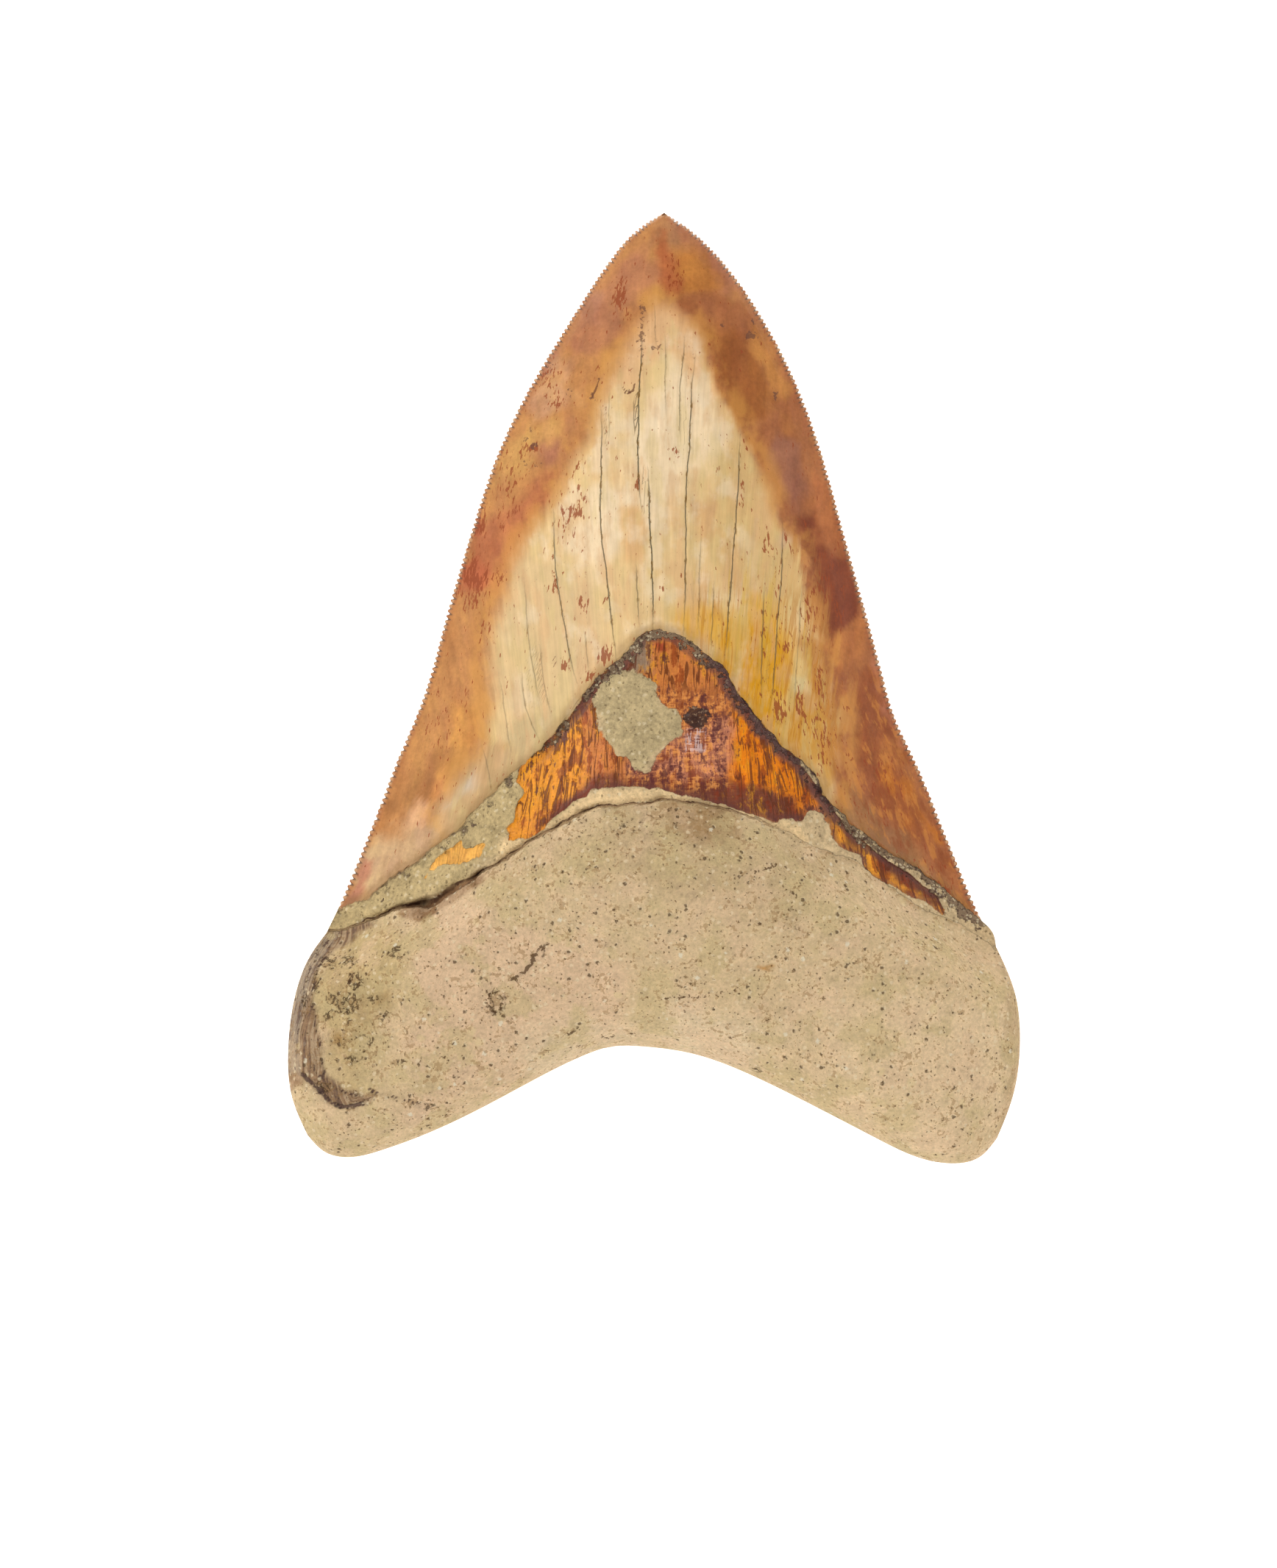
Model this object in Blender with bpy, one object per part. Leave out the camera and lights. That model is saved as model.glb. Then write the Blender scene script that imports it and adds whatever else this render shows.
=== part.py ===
"""A fossil megalodon tooth, grown as one piece: a serrated triangular crown on a thick root with two lobes.

It lies on its flatter labial face, with the bulging lingual face up. +Y points to the tip of the crown, +X is
the right-hand cutting edge seen from above, and Z = 0 is the surface that it rests on. It is about 140 mm
long, 107.5 mm wide and 28 mm thick.

Each face is a height worked out from (x, y), on a grid whose rows follow the tooth's own lines: the arched
base, the upper edge of the root, the chevron where the enamel starts, and the tip. The two faces share one
outline.
"""

import bpy
import numpy as np

MM = 0.001

# The outline, in millimetres from the middle of the tooth's box. A smooth curve passes through each list.
TIP = (1.5, 70.0)
LEFT_LOBE_SIDE = [
    (-50.9, -65.8), (-53.2, -60.1), (-53.75, -53.8), (-52.7, -45.2), (-50.6, -39.6), (-48.2, -36.2),
]
RIGHT_LOBE_SIDE = [
    (50.4, -66.2), (52.7, -60.1), (53.75, -51.4), (53.1, -45.2), (51.6, -41.0), (50.3, -38.2),
]
LEFT_NECK = [(-48.2, -36.2), (-46.6, -32.9)]
RIGHT_NECK = [(50.3, -38.2), (49.9, -36.3), (48.2, -34.4)]
LEFT_EDGE = [
    (-46.6, -32.9), (-44.4, -27.5), (-40.9, -18.8), (-37.6, -10.2), (-35.1, -4.4), (-33.3, 0.7),
    (-30.3, 11.6), (-27.1, 22.4), (-23.5, 33.3), (-18.4, 44.1), (-11.8, 55.0), (-6.0, 63.7), (-1.9, 68.0),
    TIP,
]
RIGHT_EDGE = [
    (48.2, -34.4), (45.3, -27.5), (41.8, -18.8), (38.2, -10.2), (35.5, -4.4), (34.0, 0.7), (31.1, 11.6),
    (28.1, 22.4), (25.1, 33.3), (21.3, 44.1), (15.7, 55.0), (9.4, 63.7), (4.7, 68.0), TIP,
]
BASE_LINE = [
    (-50.9, -65.8), (-48.2, -68.4), (-45.0, -69.1), (-40.1, -68.1), (-31.9, -65.0), (-21.1, -59.6),
    (-10.2, -54.1), (-6.5, -52.9), (-2.1, -52.8), (6.1, -54.0), (14.2, -57.0), (22.4, -61.0), (33.2, -66.6),
    (38.7, -69.1), (43.5, -70.0), (47.6, -69.2), (50.4, -66.2),
]

# Lines that cross a face from the left neck to the right: where the root ends, and where the enamel starts.
LINGUAL_ROOT_LINE = [
    (-48.2, -36.2), (-45.0, -34.2), (-36.0, -31.6), (-30.0, -30.4), (-21.0, -23.2), (-10.0, -17.5),
    (0.0, -16.3), (9.0, -17.2), (20.0, -20.4), (25.5, -21.6), (31.0, -26.6), (38.0, -31.0), (44.0, -34.6),
    (50.3, -38.2),
]
LINGUAL_ENAMEL_LINE = [
    (-46.6, -32.9), (-40.4, -29.4), (-30.8, -22.7), (-18.6, -11.0), (-10.5, -1.5), (-5.0, 4.3), (0.0, 7.9),
    (4.5, 7.4), (9.5, 3.8), (15.2, -4.6), (23.5, -14.4), (31.0, -22.0), (41.4, -29.8), (48.2, -34.4),
]
LABIAL_ARCH_RISE = 11.0

# Heights above the resting surface at stations along y, in millimetres.
OUTLINE_HEIGHT = [(-70, 8.6), (-58, 8.6), (-46, 7.6), (-36, 5.2), (-24, 3.8), (0, 3.0), (30, 2.4), (70, 1.4)]
CROWN_RIDGE = [(-50, 25.0), (-16, 24.0), (8, 20.4), (30, 15.0), (50, 9.0), (62, 5.0), (67.5, 2.8), (70, 1.6)]
CROWN_UNDERSIDE = [(-50, 1.2), (-30, 0.9), (0, 1.1), (30, 0.6), (48, 0.0), (54, -0.25), (60, -0.1), (70, 1.2)]

# The root's upper face: a boss in the middle that falls to a thinner lobe on each side.
SHOULDER_HEIGHT = 19.5
BOSS_RISE, BOSS_CENTRE, BOSS_REACH = 8.8, (1.0, -25.0), (27.0, 19.0)
LOBE_FALL, LOBE_START, LOBE_RUN = 4.0, 28.0, 26.0
WAVE_HEIGHT = 0.35
HOLLOW_DEPTH, HOLLOW_CENTRE, HOLLOW_REACH = 1.5, (-43.5, -48.0), (8.0, 11.0)
LINGUAL_ROUNDING = 10.0

# The root's lower face: an arch that lifts its middle, between two lobes that touch the surface below.
LABIAL_ROUNDING = 7.0
ROOT_ARCH_RISE, ROOT_ARCH_CENTRE, ROOT_ARCH_REACH = 3.2, (0.0, -46.0), (15.0, 13.0)
LOBE_SINK = 0.3

# Relief along the neck.
LEDGE_STEP, LEDGE_END, LEDGE_FADE = 1.1, 26.0, 14.0
ENAMEL_STEP = 0.4
ENAMEL_LIP, ENAMEL_LIP_WIDTH = 0.35, 0.9
LABIAL_ENAMEL_STEP = 0.6

# The cutting edges.
SERRATIONS_PER_SIDE = 150
POINTS_PER_SERRATION = 2
SERRATION_DEPTH = 0.3

# How finely the two faces are sampled.
ROOT_ROWS, NECK_ROWS, CROWN_ROWS = 17, 9, 30
LINGUAL_COLUMNS, LABIAL_COLUMNS = 44, 22


def smooth_curve(points, count):
    """count points, evenly spaced along the natural cubic spline through the given points."""
    points = np.array(points, float)
    lengths = np.concatenate([[0], np.cumsum(np.linalg.norm(np.diff(points, axis=0), axis=1))])
    gaps = np.diff(lengths)
    matrix = np.eye(len(points))
    turns = np.zeros_like(points)
    for i in range(1, len(points) - 1):
        matrix[i, i - 1 : i + 2] = gaps[i - 1], 2 * (gaps[i - 1] + gaps[i]), gaps[i]
        turns[i] = 6 * ((points[i + 1] - points[i]) / gaps[i] - (points[i] - points[i - 1]) / gaps[i - 1])
    bends = np.linalg.solve(matrix, turns)
    at = np.linspace(0, lengths[-1], 40 * len(points))
    k = np.clip(np.searchsorted(lengths, at, side="right") - 1, 0, len(gaps) - 1)
    gap = gaps[k][:, None]
    b = (at - lengths[k])[:, None] / gap
    a = 1 - b
    pull = (a**3 - a) * bends[k] + (b**3 - b) * bends[k + 1]
    fine = a * points[k] + b * points[k + 1] + pull * gap**2 / 6
    return even_points(fine, np.linspace(0, 1, count))


def even_points(line, fractions):
    """The points of a line at the given fractions of its length."""
    walked = np.concatenate([[0], np.cumsum(np.linalg.norm(np.diff(line, axis=0), axis=1))])
    at = np.asarray(fractions) * walked[-1]
    return np.stack([np.interp(at, walked, line[:, 0]), np.interp(at, walked, line[:, 1])], axis=1)


def height_at(stations, y):
    """A height read from stations along y, averaged over 8 mm so that the profile has no corners."""
    ys, heights = np.array(stations, float).T
    return np.mean([np.interp(y + offset, ys, heights) for offset in np.linspace(-4, 4, 9)], axis=0)


def line_y(line, x):
    """The y of a crossing line at x."""
    points = smooth_curve(line, 400)
    return np.interp(x, points[:, 0], points[:, 1])


def labial_line_y(x):
    """Where the enamel ends on the labial face: one gentle arch between the necks."""
    left, right = LEFT_NECK[-1], RIGHT_NECK[-1]
    across = np.clip((x - left[0]) / (right[0] - left[0]), 0, 1)
    return left[1] + (right[1] - left[1]) * across + LABIAL_ARCH_RISE * 4 * across * (1 - across)


def ease(t):
    """0 below 0, 1 above 1, and a smooth S between."""
    t = np.clip(t, 0, 1)
    return t * t * (3 - 2 * t)


def hump(x, y, centre, reach):
    """A round swelling, 1 high at its centre, that dies out beyond its reach in x and y."""
    return np.exp(-(((x - centre[0]) / reach[0]) ** 2) - ((y - centre[1]) / reach[1]) ** 2)


def root_depth(x, y):
    """How far inside the root's outline a point lies."""
    sides = [smooth_curve(line, 90) for line in (LEFT_LOBE_SIDE, RIGHT_LOBE_SIDE)]
    outline = np.concatenate([*sides, smooth_curve(BASE_LINE, 260)])
    return np.hypot(x[..., None] - outline[:, 0], y[..., None] - outline[:, 1]).min(-1)


def rounded_rim(depth, radius):
    """A quarter circle: 0 at the rim, and 1 from one radius inside it."""
    return np.sqrt(1 - (1 - np.clip(depth / radius, 0, 1)) ** 2)


def across_crown(x, y):
    """The place across the crown, from -1 on the left cutting edge to 1 on the right."""
    left = smooth_curve(LEFT_EDGE, 300)
    right = smooth_curve(RIGHT_EDGE, 300)
    x_left = np.interp(y, left[:, 1], left[:, 0])
    x_right = np.interp(y, right[:, 1], right[:, 0])
    return np.clip((2 * x - x_left - x_right) / np.maximum(x_right - x_left, 1e-6), -1, 1)


def root_top(x, y, outline_height):
    """The root's upper face: boss, lobes, a shallow hollow in the left lobe, and a rounded rim."""
    boss = BOSS_RISE * hump(x, y, BOSS_CENTRE, BOSS_REACH)
    fall = LOBE_FALL * ease((np.abs(x) - LOBE_START) / LOBE_RUN)
    waves = WAVE_HEIGHT * np.sin(x / 6.1 + y / 9.3) * np.sin(y / 5.2 - x / 13.0)
    hollow = HOLLOW_DEPTH * ease(1.8 * hump(x, y, HOLLOW_CENTRE, HOLLOW_REACH) - 0.3)
    swell = SHOULDER_HEIGHT + boss - fall + waves - hollow
    return outline_height + (swell - outline_height) * rounded_rim(root_depth(x, y), LINGUAL_ROUNDING)


def lingual_height(x, y):
    """Height of the upper face: a lens across the crown, the root, and the steps along the neck."""
    outline_height = height_at(OUTLINE_HEIGHT, y)
    lens = (1 - np.abs(across_crown(x, y)) ** 2.1) ** 1.25
    crown = outline_height + (height_at(CROWN_RIDGE, y) - outline_height) * lens
    above_root = y - line_y(LINGUAL_ROOT_LINE, x)
    above_enamel = y - line_y(LINGUAL_ENAMEL_LINE, x)
    in_root = ease(-above_root / 9.0)
    inner = np.minimum(lens * 6, 1)
    on_neck = ease((above_root - 0.5) / 2) * inner
    ledge = LEDGE_STEP * ease((LEDGE_END - x) / LEDGE_FADE) * ease(0.5 - above_root / 0.7) * inner
    enamel = ENAMEL_STEP * ease(above_enamel / 0.8 + 0.5) * on_neck
    lip = ENAMEL_LIP * np.exp(-((above_enamel / ENAMEL_LIP_WIDTH) ** 2)) * on_neck
    return crown + (root_top(x, y, outline_height) - crown) * in_root + ledge * (1 - in_root) + enamel + lip


def labial_height(x, y):
    """Height of the lower, flatter face, cut off flat where it would sink below the resting surface."""
    outline_height = height_at(OUTLINE_HEIGHT, y)
    lens = (1 - np.abs(across_crown(x, y)) ** 2.6) ** 0.95
    above_enamel = y - labial_line_y(x)
    step = LABIAL_ENAMEL_STEP * ease(0.5 - above_enamel) * np.minimum(lens * 4, 1)
    crown = outline_height - (outline_height - height_at(CROWN_UNDERSIDE, y)) * lens + step
    arch = ROOT_ARCH_RISE * hump(x, y, ROOT_ARCH_CENTRE, ROOT_ARCH_REACH) - LOBE_SINK
    root = outline_height - (outline_height - arch) * rounded_rim(root_depth(x, y), LABIAL_ROUNDING)
    return np.maximum(crown + (root - crown) * ease(-above_enamel / 8.0), 0)


def spaced(count, start_crowding, end_crowding):
    """count + 1 fractions from 0 to 1, closer together near an end that is crowded."""
    t = (np.arange(count) + 0.5) / count
    steps = 1 - start_crowding * np.exp(-t / 0.12) - end_crowding * np.exp(-(1 - t) / 0.12)
    return np.concatenate([[0], np.cumsum(steps)]) / steps.sum()


ROOT_SPACING = spaced(ROOT_ROWS, 0.85, 0.7)
NECK_SPACING = spaced(NECK_ROWS, 0.75, 0.75)


def side_points(lobe_side, neck, edge):
    """One side of the outline, with a point for each row of a grid."""
    root = even_points(smooth_curve(lobe_side, 600), ROOT_SPACING)
    between = smooth_curve(neck, NECK_ROWS + 1)
    crown = smooth_curve(edge, CROWN_ROWS + 1)
    return np.concatenate([root[:-1], between[:-1], crown])


def face_grid(root_line_y, enamel_line_y, columns):
    """x and y of one face's grid: rows run from left to right, and bend to follow the tooth's lines."""
    left = side_points(LEFT_LOBE_SIDE, LEFT_NECK, LEFT_EDGE)
    right = side_points(RIGHT_LOBE_SIDE, RIGHT_NECK, RIGHT_EDGE)
    across = spaced(columns, 0.85, 0.85)
    x = left[:, :1] + (right[:, :1] - left[:, :1]) * across
    chord = left[:, 1:] + (right[:, 1:] - left[:, 1:]) * across
    neck, enamel = ROOT_ROWS, ROOT_ROWS + NECK_ROWS
    base_bend = line_y(BASE_LINE, x[0]) - chord[0]
    root_bend = root_line_y(x[neck]) - chord[neck]
    enamel_bend = enamel_line_y(x[enamel]) - chord[enamel]
    bend = np.zeros_like(x)
    bend[: neck + 1] = base_bend + (root_bend - base_bend) * ROOT_SPACING[:, None]
    bend[neck : enamel + 1] = root_bend + (enamel_bend - root_bend) * NECK_SPACING[:, None]
    bend[enamel:] = enamel_bend * (1 - np.linspace(0, 1, CROWN_ROWS + 1)[:, None]) ** 1.7
    return x, chord + bend


def cutting_edge(edge, inward):
    """The serrated edge: points along the curve, one in each serration pushed inwards for its notch."""
    steps = SERRATIONS_PER_SIDE * POINTS_PER_SERRATION
    fine = smooth_curve(edge, steps + 1)
    along = np.gradient(fine, axis=0)
    across = np.stack([-along[:, 1], along[:, 0]], axis=1) * inward
    across /= np.linalg.norm(across, axis=1)[:, None]
    notch = np.arange(steps + 1) % POINTS_PER_SERRATION == POINTS_PER_SERRATION // 2
    return fine + across * (SERRATION_DEPTH * notch)[:, None]


def tooth_surface():
    """The points and faces of the closed surface: two grids that share their whole outline."""
    lingual_x, lingual_y = face_grid(
        lambda x: line_y(LINGUAL_ROOT_LINE, x), lambda x: line_y(LINGUAL_ENAMEL_LINE, x), LINGUAL_COLUMNS
    )
    labial_x, labial_y = face_grid(labial_line_y, lambda x: labial_line_y(x) + 2.0, LABIAL_COLUMNS)
    last_row = len(lingual_x) - 1
    enamel_row = ROOT_ROWS + NECK_ROWS
    points = []
    between = {}

    def add(x, y, z):
        """Numbers new points, and gives their numbers in the shape of x."""
        first = len(points)
        points.extend(zip(np.ravel(x).tolist(), np.ravel(y).tolist(), np.ravel(z).tolist()))
        return np.arange(first, len(points)).reshape(np.shape(x))

    def note_between(line, step):
        """Remembers which points of a finer border line lie between two that the grid uses."""
        for first in range(0, len(line) - 1, step):
            start, *middle, end = line[first : first + step + 1]
            between[start, end] = middle
            between[end, start] = middle[::-1]

    inside = np.s_[1:last_row, 1:-1]
    upper = np.zeros(lingual_x.shape, int)
    x, y = lingual_x[inside], lingual_y[inside]
    upper[inside] = add(x, y, lingual_height(x, y))
    lower = np.zeros(labial_x.shape, int)
    x, y = labial_x[inside], labial_y[inside]
    lower[inside] = add(x, y, labial_height(x, y))

    every = LINGUAL_COLUMNS // LABIAL_COLUMNS
    upper[0] = add(lingual_x[0], lingual_y[0], height_at(OUTLINE_HEIGHT, lingual_y[0]))
    lower[0] = upper[0, ::every]
    note_between(upper[0].tolist(), every)

    tip = int(add([TIP[0]], [TIP[1]], height_at(OUTLINE_HEIGHT, np.array([TIP[1]])))[0])
    upper[last_row] = lower[last_row] = tip
    for column, edge, inward in ((0, LEFT_EDGE, -1), (-1, RIGHT_EDGE, 1)):
        x, y = lingual_x[1:enamel_row, column], lingual_y[1:enamel_row, column]
        upper[1:enamel_row, column] = add(x, y, height_at(OUTLINE_HEIGHT, y))
        x, y = cutting_edge(edge, inward)[:-1].T
        border = [*add(x, y, height_at(OUTLINE_HEIGHT, y)).tolist(), tip]
        step = (len(border) - 1) // CROWN_ROWS
        upper[enamel_row:, column] = border[::step]
        lower[1:, column] = upper[1:, column]
        note_between(border, step)

    return points, grid_faces(upper, between) + grid_faces(lower[:, ::-1], between)


def grid_faces(grid, between):
    """One face for each cell of a grid of point numbers, with the finer border points put in."""
    faces = []
    for low, high in zip(grid[:-1].tolist(), grid[1:].tolist()):
        for a, b, c, d in zip(low[:-1], low[1:], high[1:], high[:-1]):
            loop = []
            for start, end in ((a, b), (b, c), (c, d), (d, a)):
                loop += [start, *between.get((start, end), ())]
            loop = list(dict.fromkeys(loop))
            if len(loop) > 2:
                faces.append(loop)
    return faces


def fossil_material():
    """The middle tone between the tan enamel and the pale root."""
    material = bpy.data.materials.new("fossil_tooth")
    material.use_nodes = True
    shader = material.node_tree.nodes["Principled BSDF"]
    shader.inputs["Base Color"].default_value = (0.62, 0.42, 0.22, 1)
    shader.inputs["Roughness"].default_value = 0.5
    shader.inputs["Metallic"].default_value = 0.0
    return material


def build_tooth():
    """The whole tooth as one object, in metres."""
    points, faces = tooth_surface()
    mesh = bpy.data.meshes.new("tooth")
    mesh.from_pydata([(x * MM, y * MM, z * MM) for x, y, z in points], [], faces)
    mesh.materials.append(fossil_material())
    mesh.shade_smooth()
    mesh.set_sharp_from_angle(angle=0.7)
    bpy.context.scene.collection.objects.link(bpy.data.objects.new("tooth", mesh))


for old in list(bpy.data.objects):
    bpy.data.objects.remove(old)

build_tooth()
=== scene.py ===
# %% [markdown]
# # A fossil megalodon tooth
#
# The tooth is one natural thing that grew as one piece, so the finished model is one closed mesh. It lies on
# its flatter labial face, and the camera looks straight down on the bulging lingual face. This first step
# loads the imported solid, which fixes where the tooth lies and how large it is.

# %% Load the frame
import math

import bmesh
import bpy
import numpy as np
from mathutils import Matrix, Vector


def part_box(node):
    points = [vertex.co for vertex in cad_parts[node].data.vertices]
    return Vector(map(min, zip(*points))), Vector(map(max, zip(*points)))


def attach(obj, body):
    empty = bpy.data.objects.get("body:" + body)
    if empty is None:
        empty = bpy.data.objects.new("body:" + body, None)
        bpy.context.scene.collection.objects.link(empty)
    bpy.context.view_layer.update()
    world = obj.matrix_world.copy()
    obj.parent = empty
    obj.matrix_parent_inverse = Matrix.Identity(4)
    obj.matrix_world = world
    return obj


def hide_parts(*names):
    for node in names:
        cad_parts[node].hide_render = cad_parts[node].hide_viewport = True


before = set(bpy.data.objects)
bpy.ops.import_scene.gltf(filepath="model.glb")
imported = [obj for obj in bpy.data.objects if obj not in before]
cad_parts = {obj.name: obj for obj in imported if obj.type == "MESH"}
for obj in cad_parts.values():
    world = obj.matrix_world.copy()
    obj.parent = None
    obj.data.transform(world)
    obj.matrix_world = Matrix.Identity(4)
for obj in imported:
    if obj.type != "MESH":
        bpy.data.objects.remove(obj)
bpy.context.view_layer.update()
MM = 0.001
low, high = np.array(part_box("tooth")) / MM
print("the solid spans", np.round(high - low, 1), "mm")

# %% [markdown]
# ## The outline
#
# Seen from above, the tooth is drawn by a few smooth curves: the two cutting edges that meet at the tip, the
# rounded sides of the two root lobes, the arched base between them, and a short neck on each side where the
# blade ends. A cubic spline through a few points gives each curve without corners, the way a draughtsman
# bends a thin strip of wood round pins. All sizes are in millimetres.

# %% The outline's points
TIP = (1.5, 70.0)
LEFT_LOBE_SIDE = [
    (-50.9, -65.8), (-53.2, -60.1), (-53.75, -53.8), (-52.7, -45.2), (-50.6, -39.6), (-48.2, -36.2),
]
RIGHT_LOBE_SIDE = [
    (50.4, -66.2), (52.7, -60.1), (53.75, -51.4), (53.1, -45.2), (51.6, -41.0), (50.3, -38.2),
]
LEFT_NECK = [(-48.2, -36.2), (-46.6, -32.9)]
RIGHT_NECK = [(50.3, -38.2), (49.9, -36.3), (48.2, -34.4)]
LEFT_EDGE = [
    (-46.6, -32.9), (-44.4, -27.5), (-40.9, -18.8), (-37.6, -10.2), (-35.1, -4.4), (-33.3, 0.7),
    (-30.3, 11.6), (-27.1, 22.4), (-23.5, 33.3), (-18.4, 44.1), (-11.8, 55.0), (-6.0, 63.7), (-1.9, 68.0),
    TIP,
]
RIGHT_EDGE = [
    (48.2, -34.4), (45.3, -27.5), (41.8, -18.8), (38.2, -10.2), (35.5, -4.4), (34.0, 0.7), (31.1, 11.6),
    (28.1, 22.4), (25.1, 33.3), (21.3, 44.1), (15.7, 55.0), (9.4, 63.7), (4.7, 68.0), TIP,
]
BASE_LINE = [
    (-50.9, -65.8), (-48.2, -68.4), (-45.0, -69.1), (-40.1, -68.1), (-31.9, -65.0), (-21.1, -59.6),
    (-10.2, -54.1), (-6.5, -52.9), (-2.1, -52.8), (6.1, -54.0), (14.2, -57.0), (22.4, -61.0), (33.2, -66.6),
    (38.7, -69.1), (43.5, -70.0), (47.6, -69.2), (50.4, -66.2),
]


# %% Curves through points
def even_points(line, fractions):
    """The points of a line at the given fractions of its length."""
    walked = np.concatenate([[0], np.cumsum(np.linalg.norm(np.diff(line, axis=0), axis=1))])
    at = np.asarray(fractions) * walked[-1]
    return np.stack([np.interp(at, walked, line[:, 0]), np.interp(at, walked, line[:, 1])], axis=1)


def smooth_curve(points, count):
    """The natural cubic spline through the points: a cubic in each span, with slope and bend carried over."""
    points = np.array(points, float)
    lengths = np.concatenate([[0], np.cumsum(np.linalg.norm(np.diff(points, axis=0), axis=1))])
    gaps = np.diff(lengths)
    matrix = np.eye(len(points))
    turns = np.zeros_like(points)
    for i in range(1, len(points) - 1):
        matrix[i, i - 1 : i + 2] = gaps[i - 1], 2 * (gaps[i - 1] + gaps[i]), gaps[i]
        turns[i] = 6 * ((points[i + 1] - points[i]) / gaps[i] - (points[i] - points[i - 1]) / gaps[i - 1])
    bends = np.linalg.solve(matrix, turns)
    at = np.linspace(0, lengths[-1], 40 * len(points))
    k = np.clip(np.searchsorted(lengths, at, side="right") - 1, 0, len(gaps) - 1)
    gap = gaps[k][:, None]
    b = (at - lengths[k])[:, None] / gap
    a = 1 - b
    pull = (a**3 - a) * bends[k] + (b**3 - b) * bends[k + 1]
    fine = a * points[k] + b * points[k + 1] + pull * gap**2 / 6
    return even_points(fine, np.linspace(0, 1, count))


edge_steps = np.diff(smooth_curve(LEFT_EDGE, 400), axis=0)
print("the left cutting edge is", round(float(np.linalg.norm(edge_steps, axis=1).sum()), 1), "mm long")

# %% [markdown]
# ## Lines that cross the face
#
# Two lines divide the lingual face. The enamel ends in a chevron, crumbly and uneven. Below it lies the
# bourlette, a band of thin amber-coloured tissue, and below that the root begins at a ragged crevice. On the
# labial face the enamel simply ends in one gentle arch. The same lines steer the grid, the relief and the
# colours, so all three stay together.

# %% The crossing lines
ROOT_LINE = [
    (-48.2, -36.2), (-44.5, -35.2), (-39.1, -33.4), (-35.5, -32.5), (-31.9, -31.8), (-28.7, -29.7),
    (-23.9, -26.3), (-17.8, -22.6), (-10.0, -18.5), (-3.9, -17.2), (3.6, -16.9), (10.8, -18.3), (17.1, -20.4),
    (24.0, -23.4), (30.0, -26.0), (37.0, -31.2), (43.5, -34.4), (50.3, -38.2),
]
ENAMEL_LINE = [
    (-46.6, -32.9), (-42.5, -31.2), (-37.7, -27.6), (-33.1, -24.4), (-28.6, -20.6), (-24.3, -16.2),
    (-19.0, -11.5), (-14.0, -6.2), (-11.1, -2.2), (-8.4, 1.1), (-5.0, 3.9), (-2.2, 7.2), (-0.2, 8.0),
    (3.3, 7.4), (7.2, 5.1), (10.2, 2.2), (12.5, -1.4), (15.5, -5.3), (19.1, -8.9), (22.9, -12.4),
    (25.5, -16.6), (30.0, -21.0), (36.2, -25.4), (41.7, -29.1), (48.2, -34.4),
]
LABIAL_ARCH_RISE = 11.0


def line_y(line, x):
    """The y of a crossing line at x."""
    points = smooth_curve(line, 600)
    return np.interp(x, points[:, 0], points[:, 1])


def labial_line_y(x):
    """The labial enamel's end: a straight line between the necks plus a parabola that rises in the middle."""
    left, right = LEFT_NECK[-1], RIGHT_NECK[-1]
    across = np.clip((x - left[0]) / (right[0] - left[0]), 0, 1)
    return left[1] + (right[1] - left[1]) * across + LABIAL_ARCH_RISE * 4 * across * (1 - across)


# %% [markdown]
# ## Small tools for relief
#
# Relief is built like a landscape: every feature is a height that depends on where a point lies. The tools
# are an S-shaped ramp, a round hump, smooth random roughness, and the distance to a drawn line or patch.
# numpy works each of them out for all points at once.

# %% Ramps, humps and roughness
def ease(t):
    """0 below 0, 1 above 1, and 3t squared minus 2t cubed between."""
    t = np.clip(t, 0, 1)
    return t * t * (3 - 2 * t)


def hump(x, y, centre, reach):
    """e to the minus squared distance, counted in reaches: 1 at the centre, and nearly 0 past two."""
    return np.exp(-(((x - centre[0]) / reach[0]) ** 2) - ((y - centre[1]) / reach[1]) ** 2)


def rough(x, y, size, seed, octaves=3):
    """Random values on a square lattice, eased from one to the next, plus finer copies of half the height."""
    lattice = np.random.default_rng(seed).uniform(-1, 1, (128, 128))
    total = np.zeros(np.shape(x))
    for octave in range(octaves):
        turn = 0.6 + 1.9 * octave
        step = size / 2**octave
        u = (x * math.cos(turn) + y * math.sin(turn)) / step + 61.7
        v = (y * math.cos(turn) - x * math.sin(turn)) / step + 37.3
        i, j = np.floor(u).astype(int), np.floor(v).astype(int)
        a, b = ease(u - i), ease(v - j)
        near = lattice[i % 128, j % 128] * (1 - a) + lattice[(i + 1) % 128, j % 128] * a
        far = lattice[i % 128, (j + 1) % 128] * (1 - a) + lattice[(i + 1) % 128, (j + 1) % 128] * a
        total += (near * (1 - b) + far * b) / 2**octave
    return total


# %% Distance to lines and patches
def line_field(x, y, line):
    """Each point's distance to the line, its side (1 left, -1 right), and the share of the line passed."""
    line = np.array(line, float)
    best = np.full(np.shape(x), np.inf)
    side = np.zeros(np.shape(x))
    passed = np.zeros(np.shape(x))
    for k, (start, end) in enumerate(zip(line[:-1], line[1:])):
        run = end - start
        t = np.clip(((x - start[0]) * run[0] + (y - start[1]) * run[1]) / (run @ run), 0, 1)
        off_x, off_y = x - start[0] - t * run[0], y - start[1] - t * run[1]
        distance = np.hypot(off_x, off_y)
        nearer = distance < best
        best = np.where(nearer, distance, best)
        side = np.where(nearer, np.sign(run[0] * off_y - run[1] * off_x), side)
        passed = np.where(nearer, (k + t) / (len(line) - 1), passed)
    return best, side, passed


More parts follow.
